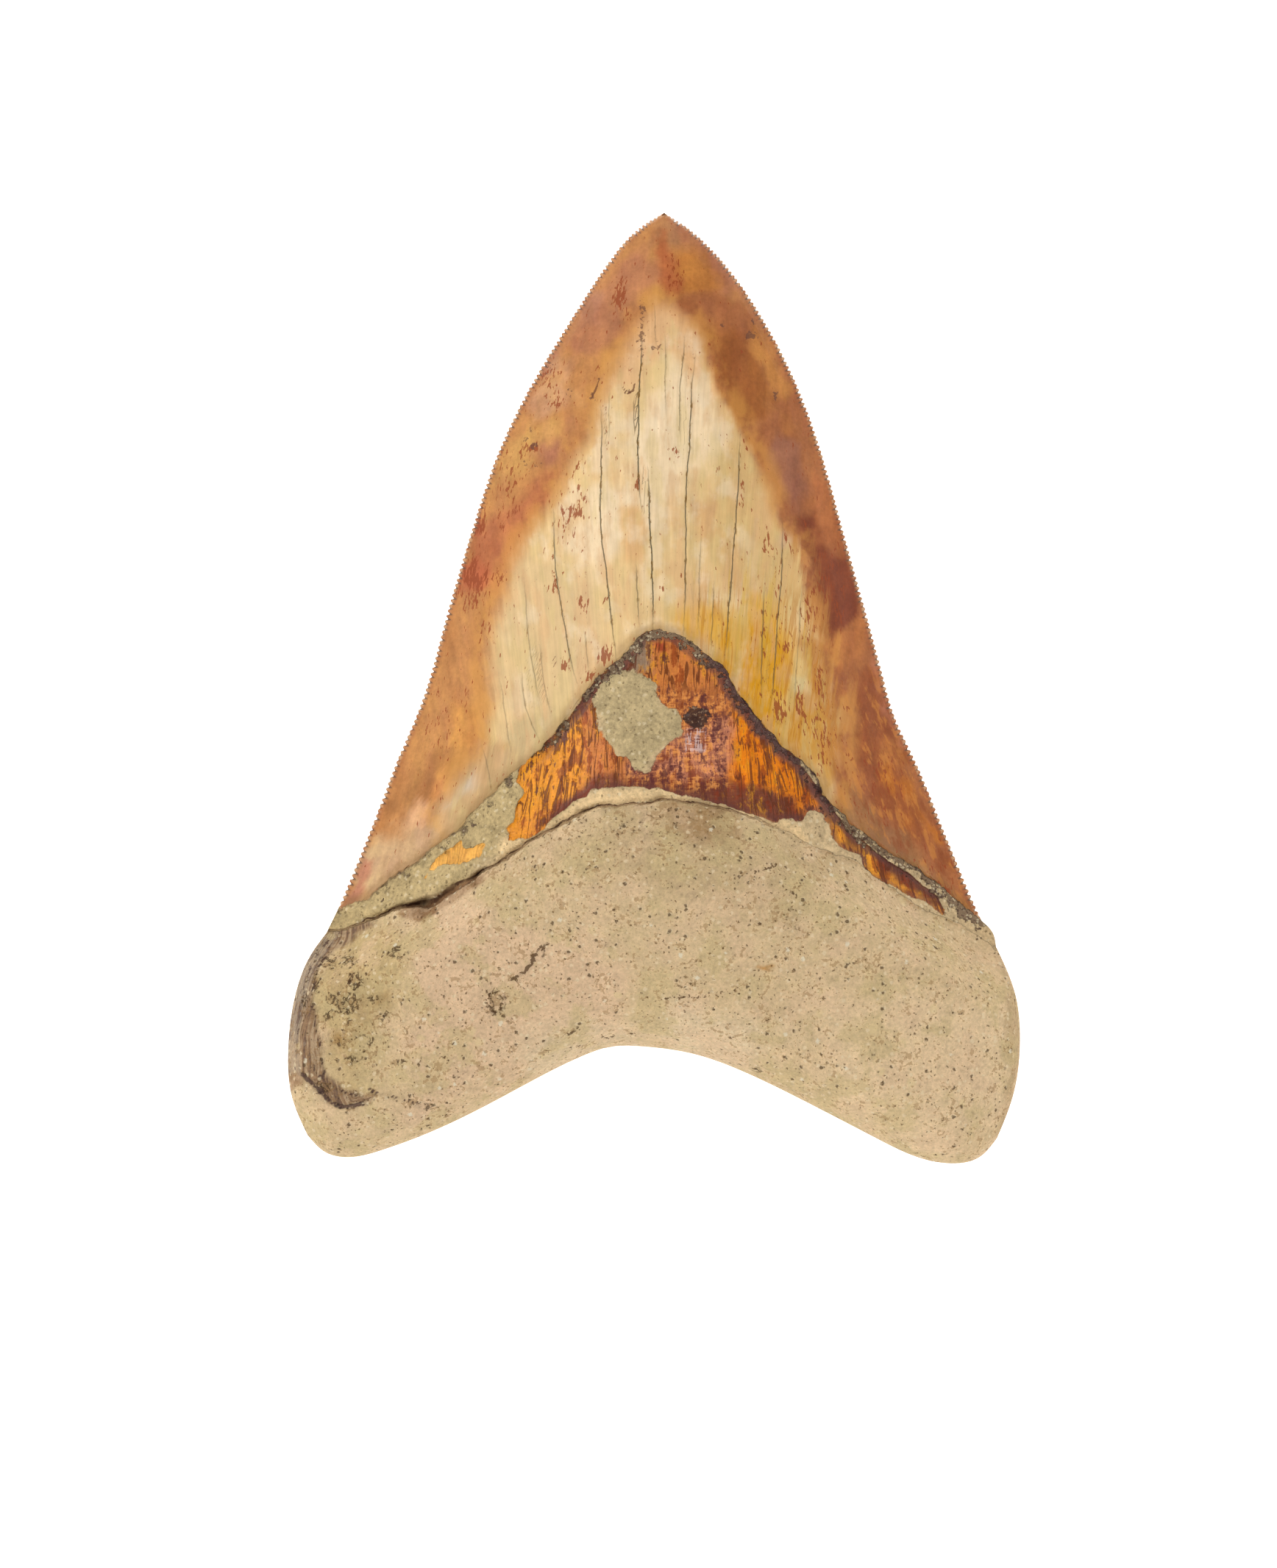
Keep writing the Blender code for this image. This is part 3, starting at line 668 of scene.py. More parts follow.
# %% Washes on the stained sides of the enamel
TAN = tone(190, 130, 74)
SIDE_WASHES = {
    "russet side": (tone(164, 99, 58), 3.5, [
        (1.7, 56.4), (6.6, 60.9), (14.1, 56.8), (21.6, 43.8), (26.9, 28.7), (31.8, 14.6), (38.4, -0.6),
        (43.2, -12.4), (50.0, -34.0), (35.0, -30.0), (22.0, -16.0), (24.2, 9.7), (20.2, 22.8), (13.7, 37.4),
        (9.0, 44.4), (6.4, 52.1)]),
    "pink tip": (tone(172, 110, 74), 2.5, [
        (2.9, 68.6), (8.6, 65.3), (12.9, 60.6), (16.5, 55.2), (14.4, 55.6), (9.3, 59.9), (5.4, 63.5),
        (3.2, 65.3)]),
    "honey tip": (tone(176, 122, 80), 1.8, [
        (-0.4, 68.9), (3.2, 68.9), (4.3, 65.0), (1.8, 65.3), (-0.6, 65.0)]),
    "gold tip": (tone(186, 118, 54), 2.2, [
        (2.0, 64.4), (5.6, 64.1), (7.7, 61.4), (9.5, 58.7), (7.5, 57.2), (4.7, 57.9), (2.7, 60.3)]),
    "red tip": (tone(170, 94, 54), 2.0, [
        (-0.2, 66.8), (1.6, 67.0), (2.6, 63.0), (3.4, 58.6), (2.0, 57.6), (0.6, 61.7), (0.0, 63.5)]),
    "upper pink": (tone(180, 118, 78), 3.0, [
        (-6.9, 61.4), (-1.8, 65.0), (-1.1, 60.3), (-3.6, 53.4), (-6.9, 50.6), (-10.1, 49.1), (-12.6, 50.6),
        (-10.1, 56.0)]),
    "upper mauve": (tone(176, 120, 88), 2.6, [
        (-11.2, 56.0), (-8.3, 56.7), (-7.6, 53.4), (-10.1, 51.6), (-12.3, 52.0)]),
    "left mauve": (tone(172, 114, 84), 2.4, [
        (-16.2, 48.8), (-14.4, 49.1), (-13.7, 47.0), (-15.5, 45.5), (-17.3, 46.2)]),
    "left peach": (tone(200, 148, 102), 3.0, [
        (-15.2, 46.2), (-11.9, 47.0), (-11.6, 42.6), (-15.2, 39.8), (-18.4, 37.6), (-18.8, 41.2)]),
    "left gold": (tone(204, 151, 84), 3.0, [
        (-23.1, 34.0), (-18.0, 39.8), (-15.2, 39.0), (-16.2, 34.0), (-18.8, 30.7), (-22.7, 29.7),
        (-24.5, 28.9)]),
    "middle mauve": (tone(178, 116, 80), 2.4, [
        (-15.5, 37.6), (-12.6, 38.7), (-12.6, 34.0), (-14.8, 31.8), (-16.6, 33.3)]),
    "terracotta": (tone(182, 108, 66), 2.6, [
        (-16.2, 32.9), (-14.4, 31.8), (-15.2, 27.9), (-17.7, 23.9), (-19.5, 19.1), (-20.8, 15.9),
        (-23.0, 15.0), (-25.2, 16.5), (-26.2, 20.4), (-25.2, 25.5), (-19.5, 27.9)]),
    "left orange": (tone(206, 140, 74), 2.4, [
        (-14.4, 31.5), (-10.8, 31.5), (-10.5, 26.1), (-12.6, 24.3), (-14.8, 26.8)]),
    "upper rust": (tone(178, 90, 56), 1.4, [
        (-26.5, 24.8), (-25.2, 25.2), (-24.9, 22.9), (-26.2, 22.0), (-26.8, 22.9)]),
    "lower rust": (tone(184, 96, 58), 2.0, [
        (-28.1, 18.1), (-25.9, 19.1), (-24.7, 16.5), (-25.2, 14.3), (-28.4, 14.6), (-28.9, 16.2)]),
    "orange patch": (tone(206, 142, 72), 2.0, [
        (-29.2, -3.2), (-26.5, -2.6), (-25.2, -5.1), (-25.5, -8.3), (-27.4, -9.3), (-29.4, -7.7)]),
    "low honey": (tone(166, 110, 60), 3.0, [
        (-33.8, -9.6), (-30.3, -9.3), (-29.4, -11.2), (-31.9, -14.7), (-35.7, -17.5), (-37.6, -16.9),
        (-35.7, -12.1)]),
    "low beige": (tone(203, 166, 122), 4.0, [
        (-31.0, -17.0), (-36.0, -19.0), (-41.0, -25.0), (-47.0, -33.0), (-40.0, -36.0), (-24.0, -26.0)]),
    "orange streak": (tone(216, 148, 82), 1.2, [
        (-33.0, -17.4), (-31.2, -11.6), (-30.2, -12.0), (-31.8, -17.0)]),
    "peach streak": (tone(220, 168, 122), 1.6, [
        (-36.4, -20.6), (-34.6, -16.6), (-32.6, -17.2), (-34.0, -20.6)]),
    # A painted sheen: the rosy glint where the lower-left cutting edge turns towards the light.
    "painted rosy sheen on left edge": (tone(180, 120, 92), 1.2, [(-45.0, -31.6), (-42.4, -25.5), (-41.4, -25.7), (-43.6, -31.4)]),
    "russet core": (tone(128, 62, 36), 1.6, [
        (20.5, 25.5), (27.8, 25.5), (29.5, 18.5), (31.2, 9.5), (28.5, 8.8), (27.4, 5.0), (26.0, 5.4),
        (25.0, 8.8), (23.3, 13.7), (22.2, 17.5)]),
    "dark russet": (tone(154, 90, 42), 3.0, [
        (8.6, 52.0), (12.6, 52.0), (15.5, 47.7), (17.6, 42.6), (16.2, 39.8), (12.6, 39.8), (10.4, 43.4),
        (9.0, 47.3)]),
    "gold isle": (tone(188, 124, 62), 2.2, [
        (14.0, 54.2), (16.2, 52.0), (18.3, 47.7), (19.4, 43.4), (17.3, 43.4), (15.5, 47.0), (14.4, 50.6)]),
    "small gold isle": (tone(180, 114, 62), 1.8, [(17.3, 41.2), (20.9, 40.8), (21.6, 37.9), (19.4, 37.6)]),
    "right mauve": (tone(154, 98, 72), 2.4, [
        (18.0, 36.1), (21.2, 35.8), (23.4, 28.9), (22.7, 24.3), (19.8, 24.3), (18.0, 29.7)]),
    "right orange": (tone(180, 108, 60), 2.4, [
        (23.4, 31.5), (25.9, 30.7), (27.4, 23.5), (28.1, 19.3), (24.8, 21.7), (23.7, 26.1)]),
    "low brown": (tone(146, 78, 40), 3.0, [
        (28.8, 1.9), (32.3, 3.3), (34.0, -2.2), (35.7, -9.2), (38.9, -16.1), (44.0, -26.5), (39.9, -24.7),
        (33.7, -18.9), (30.2, -13.7), (29.5, -5.7)]),
    "upper flame": (tone(176, 106, 50), 2.0, [(31.9, -7.8), (35.0, -5.7), (37.1, -11.2), (34.0, -12.6)]),
    "lower flame": (tone(186, 108, 36), 2.0, [(33.8, -13.0), (38.4, -13.4), (42.7, -23.0), (38.9, -20.6)]),
    "right edge": (tone(176, 108, 76), 1.6, [
        (31.9, 6.1), (33.7, 1.2), (35.7, -4.0), (37.8, -9.2), (36.8, -9.5), (34.3, -4.3), (32.3, 0.5)]),
    "ember": (tone(184, 114, 60), 1.6, [
        (25.0, 5.4), (28.6, 9.4), (30.6, 11.4), (31.8, 9.6), (29.6, 3.6), (27.4, 3.0)]),
    "low grey": (tone(160, 110, 68), 2.6, [
        (28.8, -15.4), (33.0, -18.2), (36.4, -23.0), (38.9, -26.8), (35.7, -25.8), (31.6, -22.0),
        (28.5, -18.2)]),
}

# %% Washes on the ivory heart of the enamel
IVORY = tone(224, 189, 134)
IVORY_HEART = [
    (0.4, 56.1), (2.4, 56.0), (5.0, 53.7), (6.6, 51.3), (7.8, 48.1), (9.1, 43.9), (11.0, 40.7), (12.8, 37.2),
    (14.8, 33.3), (16.6, 28.5), (18.2, 23.4), (20.6, 21.8), (21.2, 16.8), (22.4, 12.4), (23.0, 9.2),
    (24.4, 5.4), (26.4, 0.5), (27.4, -5.5), (27.0, -12.0), (26.0, -18.0), (20.9, -21.0), (-0.2, -4.7),
    (-20.5, -24.0), (-27.0, -26.0), (-31.0, -22.0), (-32.0, -18.0), (-29.0, -13.6), (-25.4, -9.8),
    (-23.6, -2.2), (-24.2, 3.2), (-24.0, 8.4), (-21.9, 13.0), (-20.6, 18.0), (-18.6, 21.7), (-15.7, 25.5),
    (-14.4, 27.5), (-11.5, 33.4), (-9.4, 35.9), (-8.3, 40.0), (-7.0, 44.1), (-4.0, 50.0), (-2.0, 53.3),
]
IVORY_WASHES = {
    "upper tan": (tone(224, 177, 127), 5.0, [(-8, 44), (-4, 60), (8, 60), (12, 44), (4, 46)]),
    "bright heart": (tone(237, 210, 170), 5.0, [
        (-3, 31), (0, 43), (3, 48), (6, 45), (9, 36), (6, 28), (2, 22), (-8, 16), (-11, 22), (-9, 30)]),
    "right side": (tone(210, 172, 114), 5.0, [(10, 42), (24, 22), (22, 12), (10, 13), (8, 24)]),
    "cream": (tone(216, 184, 134), 3.5, [
        (-20.4, 19.1), (-11.5, 19.1), (-7.7, 9.5), (-12.2, -1.9), (-17.9, -8.9), (-22.4, -10.2),
        (-23.0, -3.2), (-22.0, 6.4)]),
    "grey cream": (tone(202, 174, 126), 2.4, [
        (-22.0, -6.4), (-15.3, -3.2), (-13.4, -4.2), (-19.2, -10.5), (-22.4, -12.8), (-23.3, -11.2)]),
    "low tan": (tone(198, 148, 84), 3.0, [(-25.5, -4.0), (-22.0, -9.0), (-24.0, -14.0), (-30.0, -16.0)]),
    "low cream": (tone(194, 158, 110), 3.0, [
        (-26.0, -9.0), (-20.0, -9.0), (-20.0, -14.0), (-26.8, -22.0), (-36.0, -28.0), (-36.0, -17.0),
        (-30.0, -12.0)]),
    "grey pink": (tone(206, 184, 156), 1.6, [(-30.6, -17.6), (-28.8, -18.0), (-25.6, -14.0), (-26.4, -12.2)]),
    "gold": (tone(220, 166, 66), 6.0, [
        (5.6, 8.6), (9.0, 11.0), (13.6, 13.6), (18.4, 13.0), (20.8, 6.1), (21.5, -0.9), (20.8, -6.7),
        (18.4, -7.7), (13.6, -1.5), (10.5, 1.3), (6.4, 6.0), (4.2, 8.6)]),
    "deep gold": (tone(210, 146, 2), 4.0, [
        (8.6, 7.0), (11.4, 9.6), (16.4, 9.6), (18.8, 2.0), (20.6, -7.2), (18.0, -9.0), (12.6, -2.5),
        (8.0, 2.8)]),
    "low gold": (tone(200, 144, 56), 3.0, [
        (19.8, 1.2), (23.3, 3.3), (27.8, 1.2), (28.5, -5.7), (28.5, -12.6), (25.3, -15.4), (22.9, -12.3),
        (19.8, -7.4)]),
    "tan band": (tone(188, 126, 58), 2.6, [
        (22.2, 6.1), (25.7, 8.8), (27.8, 1.2), (30.2, -9.2), (31.2, -15.4), (26.7, -15.7), (24.3, -5.7)]),
    "pale isle": (tone(216, 190, 136), 1.6, [(19.4, 1.8), (22.6, 2.2), (23.0, -1.0), (20.2, -1.4)]),
    # A painted highlight: a soft pink sheen on the right slope of the ivory.
    "painted pink highlight": (tone(202, 162, 130), 2.4, [
        (16.6, 32.0), (20.6, 28.0), (21.4, 22.0), (18.6, 22.0), (17.6, 27.0)]),
    "left tan": (tone(218, 174, 118), 1.6, [
        (-4.5, 26.6), (-1.8, 27.4), (-0.8, 23.8), (-1.0, 19.5), (-2.9, 17.3), (-4.5, 20.0)]),
    "right tan": (tone(212, 168, 114), 1.4, [
        (5.5, 26.8), (9.0, 26.6), (9.9, 22.4), (7.5, 20.3), (5.5, 21.7)]),
}

# %% Washes on the amber band and the sediment
RED_BROWN = tone(204, 122, 60)
BAND_WASHES = {
    "left amber": (tone(230, 146, 38), 2.4, [
        (-22.6, -15.8), (-14.5, -4.5), (-10.2, -1.2), (-9.3, -8.2), (-9.0, -13.6), (-11.8, -17.1),
        (-16.2, -20.9), (-22.6, -24.0)]),
    "right amber": (tone(222, 122, 2), 2.2, [
        (11.0, -5.5), (12.9, -2.0), (18.5, -6.1), (23.0, -12.0), (24.0, -17.4), (21.3, -19.1), (16.4, -18.0),
        (12.1, -16.3), (10.4, -11.5)]),
    "right streak": (tone(230, 150, 40), 1.5, [
        (24.6, -14.3), (31.6, -22.4), (44.6, -33.7), (38.1, -33.0), (30.0, -28.7), (24.6, -23.4)]),
    "island": (tone(238, 176, 84), 1.0, [(-35.0, -29.0), (-35.0, -20.0), (-22.5, -20.0), (-23.5, -29.0)]),
    "scratched": (tone(210, 136, 100), 2.6, [(-3.9, -7.4), (10.5, -6.4), (10.5, -13.4), (-3.9, -13.4)]),
    "right border": (tone(108, 54, 38), 1.8, [
        (5.5, -13.6), (12.1, -14.2), (18.6, -16.7), (23.5, -18.5), (21.8, -20.7), (12.1, -19.1),
        (4.5, -16.3)]),
    "left shade": (tone(112, 62, 46), 1.0, [
        (-17.0, -6.5), (-12.0, -1.0), (-8.0, 3.5), (-5.5, 5.5), (-4.5, 3.5), (-8.0, 0.5), (-9.5, -2.0),
        (-9.6, -4.5),
        (-12.0, -4.4), (-15.6, -8.5)]),
    "left border": (tone(128, 70, 48), 1.6, [
        (-9.7, -13.6), (-4.2, -13.0), (1.2, -13.9), (5.5, -14.7), (5.0, -16.3), (-2.1, -15.3), (-9.7, -16.3),
        (-15.6, -20.7), (-16.7, -19.9)]),
    "chevron shade": (tone(104, 58, 44), 1.4, [
        (12.1, -0.6), (15.3, -4.1), (18.6, -8.2), (21.8, -11.4), (24.0, -14.7), (30.0, -21.5), (44.0, -32.6),
        (42.0, -32.6), (29.0, -23.6), (22.7, -15.4), (19.7, -11.5), (15.9, -7.7), (12.9, -3.3)]),
    "peak": (tone(148, 124, 100), 1.0, [
        (-6.2, 2.4), (-4.2, 5.4), (-2.3, 7.6), (-0.4, 7.4), (-0.5, 3.7), (0.3, 1.0), (-2.1, 2.1),
        (-4.2, 2.0), (-6.2, 0.5)]),
    "peak rust": (tone(172, 72, 44), 0.6, [(-0.2, 6.6), (1.6, 6.4), (1.8, 5.0), (0.2, 4.8)]),
}
SEDIMENT = tone(205, 178, 136)
SEDIMENT_WASHES = {
    "left strip": (tone(194, 170, 122), 3.0, [
        (-50.0, -33.0), (-30.0, -18.0), (-12.0, -4.0), (-12.0, -17.0), (-24.0, -26.0), (-34.0, -32.0),
        (-50.0, -40.0)]),
    "fringe": (tone(230, 198, 148), 1.2, [
        (-22.0, -22.4), (-16.0, -20.0), (-8.0, -15.6), (4.0, -15.4), (14.0, -18.4), (22.0, -20.4),
        (24.0, -24.0), (8.0, -19.0), (-8.0, -19.0), (-24.0, -27.5)]),
    "patch": (tone(192, 170, 126), 1.0, SEDIMENT_PATCH),
    "crevice wall": (tone(136, 100, 66), 0.6, [
        (-37.4, -32.9), (-35.8, -31.8), (-33.7, -31.9), (-31.8, -30.7), (-29.6, -29.4), (-27.5, -28.3),
        (-26.1, -27.7), (-24.8, -27.5), (-25.0, -28.5), (-33.7, -34.3), (-37.0, -34.0)]),
}

# %% Washes on the root
CLAY, PINK_CLAY, GREEN_CLAY = tone(213, 185, 143), tone(219, 186, 149), tone(199, 176, 128)
ROOT_WASHES = {
    "left clay": (PINK_CLAY, 6.0, [(-36, -38), (-22, -32), (-8, -38), (-4, -50), (-18, -56), (-34, -62)]),
    "right clay": (tone(224, 195, 154), 6.0, [
        (20, -44), (40, -42), (50, -46), (52, -60), (44, -68), (26, -58)]),
    "arch": (tone(220, 194, 156), 5.0, [
        (-22, -54), (-8, -48), (6, -47), (20, -52), (14, -58), (0, -54), (-12, -58)]),
    "upper clay": (tone(199, 172, 130), 6.0, [
        (-22, -25), (-8, -18), (4, -17), (16, -20), (27, -25), (24, -32), (8, -29), (-8, -28), (-22, -31)]),
    "dark clay": (tone(168, 136, 96), 3.0, [
        (2.2, -17.7), (10.5, -17.7), (11.3, -21.5), (11.1, -23.9), (8.1, -23.4), (3.8, -22.0), (2.4, -19.6)]),
    "bowl": (tone(198, 171, 122), 4.0, [
        (-48.5, -40.7), (-45.8, -38.0), (-42.6, -35.9), (-38.8, -34.2), (-37.4, -36.7), (-38.0, -40.4),
        (-39.6, -42.9), (-37.4, -46.7), (-39.6, -48.8), (-41.2, -52.1), (-37.4, -54.8), (-39.6, -56.4),
        (-43.4, -56.9), (-46.6, -56.4), (-48.3, -54.2), (-48.5, -51.0), (-49.3, -48.8), (-49.6, -46.1)]),
    "bowl smudge": (tone(184, 156, 110), 3.0, [
        (-48.0, -43.0), (-46.4, -41.0), (-44.2, -42.1), (-42.8, -44.6), (-43.6, -47.5), (-46.1, -48.2),
        (-47.7, -46.8)]),
    "small smudge": (tone(174, 142, 94), 2.0, [
        (-41.4, -44.6), (-39.0, -44.9), (-38.8, -47.1), (-40.9, -47.1)]),
    "low smudge": (tone(166, 130, 80), 2.0, [(-47.1, -50.8), (-45.3, -50.8), (-45.5, -52.9), (-47.1, -52.7)]),
    "crevice wall": SEDIMENT_WASHES["crevice wall"],
    # Painted shade: the right lobe's outer rim is darkened where it turns away from the light.
    "painted shade on right rim": (tone(192, 164, 124), 1.6, [
        (50.8, -40.0), (55.0, -42.0), (55.0, -60.0), (51.5, -68.0), (50.0, -66.0), (51.8, -56.0),
        (52.0, -46.0)]),
    "left rim": (tone(154, 120, 86), 1.4, [(-55.0, -46.0), (-52.2, -46.0), (-51.8, -58.0), (-54.0, -60.0)]),
    "ochre fleck": (tone(190, 140, 80), 0.4, [(15.2, -41.0), (17.2, -40.7), (16.5, -41.6)]),
    "right neck": (tone(205, 140, 75), 0.8, [
        (48.1, -34.1), (50.0, -35.4), (50.0, -38.4), (48.7, -36.4), (46.8, -34.5)]),
    "mauve seam": (tone(195, 150, 130), 0.8, [
        (43.5, -31.5), (47.1, -33.2), (49.4, -35.4), (48.7, -36.4), (45.5, -34.1), (42.9, -32.5)]),
}

# %% Mix the washes
LABIAL_WASH_SHIFT = 5.0
wash_x = np.where(labial, -x, x)
wash_y = y + np.where(labial, LABIAL_WASH_SHIFT, 0.0)
colours = {
    "side_wash": wash(TAN, SIDE_WASHES, wash_x, wash_y, seed=200),
    "ivory_wash": wash(IVORY, IVORY_WASHES, wash_x, wash_y, seed=250),
    "band_wash": wash(RED_BROWN, BAND_WASHES, x, y, seed=300),
    "sediment_wash": wash(SEDIMENT, SEDIMENT_WASHES, x, y, seed=350),
    "root_wash": wash(CLAY, ROOT_WASHES, wash_x, y, seed=400),
}
wash_counts = {"sides": len(SIDE_WASHES), "heart": len(IVORY_WASHES), "root": len(ROOT_WASHES)}
print("washes:", wash_counts)

# %% [markdown]
# ## Cracks, rust and soot
#
# The enamel has split along fine growth lines that run nearly straight down. A crack is stored as a signed
# distance: the material then draws a line where the distance crosses zero, much finer than the mesh. A second
# value says how strong the nearest crack is. Rust and soot are densities: the material draws specks and
# scribbles where they are high.

# %% Cracks
CRACKS = [
    (0.9, [(-7.7, 40.7), (-7.8, 31.2), (-7.9, 26.9), (-7.1, 17.6), (-6.4, 11.2), (-5.5, 3.8)]),
    (1.0, [(-1.8, 51.6), (-2.0, 46.2), (-2.2, 41.7), (-2.3, 35.9), (-2.2, 29.3), (-1.9, 26.0)]),
    (0.6, [(-2.5, 17.6), (-2.4, 12.9), (-2.2, 9.0)]),
    (0.6, [(-2.9, 42.3), (-3.0, 39.6), (-2.8, 36.7)]),
    (1.0, [(-0.8, 31.8), (-0.6, 23.3), (-0.2, 14.8), (-0.2, 8.4)]),
    (0.6, [(4.6, 51.6), (3.7, 40.0), (3.9, 35.9)]),
    (0.9, [(6.0, 48.3), (5.5, 43.4), (5.2, 35.9), (4.7, 28.6), (4.6, 18.8), (4.3, 8.0)]),
    (0.9, [(12.7, 37.0), (12.5, 33.2), (11.9, 24.0), (11.2, 14.8), (10.3, 3.8)]),
    (0.8, [(18.8, 24.2), (18.8, 19.4), (18.1, 9.6), (17.1, -1.9), (16.8, -3.5)]),
    (0.7, [(16.1, 14.0), (15.9, 9.4), (15.6, -1.0)]),
    (0.8, [(-14.7, 25.7), (-14.4, 17.6), (-13.6, 11.9), (-12.4, 5.0), (-11.3, 0.4)]),
    (0.45, [(-19.0, 15.4), (-18.5, 9.0), (-17.4, 1.0), (-16.6, -2.4)]),
    (0.4, [(-16.7, 6.1), (-15.6, -1.9), (-15.0, -4.0)]),
    (0.4, [(-10.2, 8.0), (-9.6, 2.5)]),
    (0.45, [(-19.3, 2.1), (-18.7, -3.2), (-16.8, -7.8)]),
    (0.4, [(-22.5, 0.8), (-21.7, -4.5), (-20.9, -9.5)]),
    (0.4, [(-24.9, -9.2), (-23.7, -15.2)]),
    (0.35, [(1.7, 51.6), (1.7, 40.0)]),
    (0.35, [(0.1, 55.9), (0.3, 50.0)]),
    (0.3, [(-6.5, 43.4), (-6.6, 35.9)]),
    (0.45, [(6.8, 21.7), (6.4, 8.4)]),
    (0.55, [(8.7, 15.0), (8.3, 5.6)]),
    (0.4, [(21.6, 14.0), (21.0, 4.0), (20.4, -4.0)]),
]


def crack_field(x, y):
    """Signed distance to the nearest crack, and its strength, which fades over 1 mm and at its ends."""
    nearest = np.full(len(x), np.inf)
    signed = np.full(len(x), 5.0)
    strength = np.zeros(len(x))
    bent = x + 0.08 * rough(x, y, 2.4, seed=71) + 0.04 * rough(x, y, 0.9, seed=72)
    for depth, line in CRACKS:
        distance, side, passed = line_field(bent, y, smooth_curve(line, 24))
        nearer = distance < nearest
        nearest = np.where(nearer, distance, nearest)
        signed = np.where(nearer, distance * side, signed)
        taper = 0.25 + 0.75 * ease(passed / 0.2) * ease((1 - passed) / 0.2)
        strength = np.where(nearer, depth * taper, strength)
    return signed, strength * ease(1.6 - 1.6 * nearest)


# %% Rust and soot
RUST_SPOTS = [
    ((-26.4, 15.7), (2.6, 4.6), 1.0), ((-25.6, 24.0), (1.2, 3.4), 1.0), ((-24.8, 8.2), (1.0, 2.6), 0.8),
    ((-18.0, 35.2), (1.6, 1.0), 1.1), ((-19.3, 35.0), (0.8, 1.8), 0.9), ((-15.0, 44.0), (3.0, 5.0), 0.5),
    ((-21.5, 28.0), (2.5, 6.0), 0.6), ((-12.0, 26.0), (2.2, 4.4), 0.75), ((-10.9, 31.0), (1.2, 3.0), 0.6),
    ((-5.0, 57.4), (1.2, 3.2), 1.2), ((3.0, 60.0), (1.2, 3.0), 0.8), ((18.3, -3.0), (1.3, 2.4), 1.2),
    ((21.4, -3.2), (1.0, 3.6), 0.9), ((24.3, 0.5), (0.9, 3.4), 0.9), ((24.5, -8.0), (2.0, 5.0), 0.8),
    ((19.7, 6.2), (0.8, 2.0), 0.8), ((22.6, 10.0), (1.2, 3.0), 0.9), ((25.0, 14.0), (3.5, 7.0), 0.55),
    ((16.1, 8.0), (0.6, 7.0), 0.7), ((18.3, 12.0), (0.6, 8.0), 0.6), ((33.0, -14.0), (5.0, 6.0), 0.5),
    ((41.0, -28.0), (3.0, 4.0), 0.7), ((-31.0, -6.0), (3.0, 5.0), 0.4), ((-7.2, 4.2), (1.1, 1.8), 1.3),
    ((-9.0, 1.6), (1.0, 1.2), 1.1), ((-10.5, 12.0), (0.8, 1.4), 0.9), ((-13.0, 3.4), (0.7, 1.2), 0.9),
    ((-14.4, 15.4), (0.5, 2.6), 0.8), ((1.4, 14.3), (0.6, 0.9), 1.1), ((-6.9, 12.6), (0.6, 0.8), 1.0),
    ((-22.6, 16.3), (0.6, 1.0), 1.2), ((-2.3, 29.7), (0.8, 1.0), 1.2), ((3.2, 34.5), (1.0, 0.9), 0.9),
    ((12.6, 28.0), (0.6, 3.4), 0.7), ((16.5, 21.0), (0.8, 1.6), 0.9), ((19.6, 21.6), (0.6, 2.0), 0.8),
]
SOOT_SPOTS = [
    ((-43.5, -43.0), (1.2, 1.1), 0.8), ((-44.9, -46.2), (1.6, 1.5), 1.0), ((-47.2, -45.8), (1.0, 0.9), 0.9),
    ((-47.5, -48.0), (0.9, 0.7), 0.8), ((-39.7, -48.2), (1.4, 1.2), 0.45), ((-41.0, -45.6), (1.0, 0.8), 0.5),
    ((-37.7, -38.8), (1.2, 1.3), 0.7), ((-44.7, -40.1), (1.4, 1.0), 0.7), ((-49.3, -43.4), (0.7, 1.6), 0.7),
    ((-47.9, -40.3), (1.2, 0.9), 0.8), ((-41.6, -52.1), (0.9, 0.7), 0.7), ((-37.5, -54.9), (0.9, 0.6), 0.7),
    ((-43.6, -54.5), (1.6, 1.2), 0.45), ((-51.2, -46.2), (0.8, 2.0), 0.5), ((-44.0, -50.0), (6.0, 7.0), 0.18),
    ((6.0, -43.0), (6.0, 3.0), 0.14), ((-23.0, -46.5), (2.6, 3.0), 0.42), ((20.0, -33.0), (2.5, 5.0), 0.22),
    ((-2.0, -20.0), (18.0, 3.5), 0.20), ((-33.0, -61.5), (3.0, 0.7), 0.5), ((15.0, -56.0), (0.8, 0.6), 0.8),
    ((-48.5, -58.8), (2.6, 1.0), 0.5), ((-1.8, 51.5), (0.7, 4.5), 0.9), ((-3.6, 43.4), (1.2, 0.7), 0.9),
    ((-9.1, 42.5), (0.6, 0.8), 1.2), ((14.2, 51.8), (1.1, 0.7), 1.5), ((10.1, 53.4), (0.5, 0.5), 1.3),
    ((14.5, 53.8), (0.5, 0.7), 1.1), ((17.9, 43.0), (0.6, 1.0), 1.2), ((-1.6, 55.4), (0.6, 1.4), 1.2),
    ((0.3, 49.8), (1.2, 0.8), 0.8), ((-15.8, 47.6), (1.1, 1.6), 0.8), ((-17.8, 35.5), (0.7, 0.7), 1.4),
    ((-19.0, 36.5), (0.6, 0.5), 1.3), ((-18.0, 38.0), (0.5, 0.8), 1.0), ((-12.7, 43.4), (0.8, 0.8), 0.8),
    ((-17.8, 33.0), (2.6, 0.6), 0.8),
]
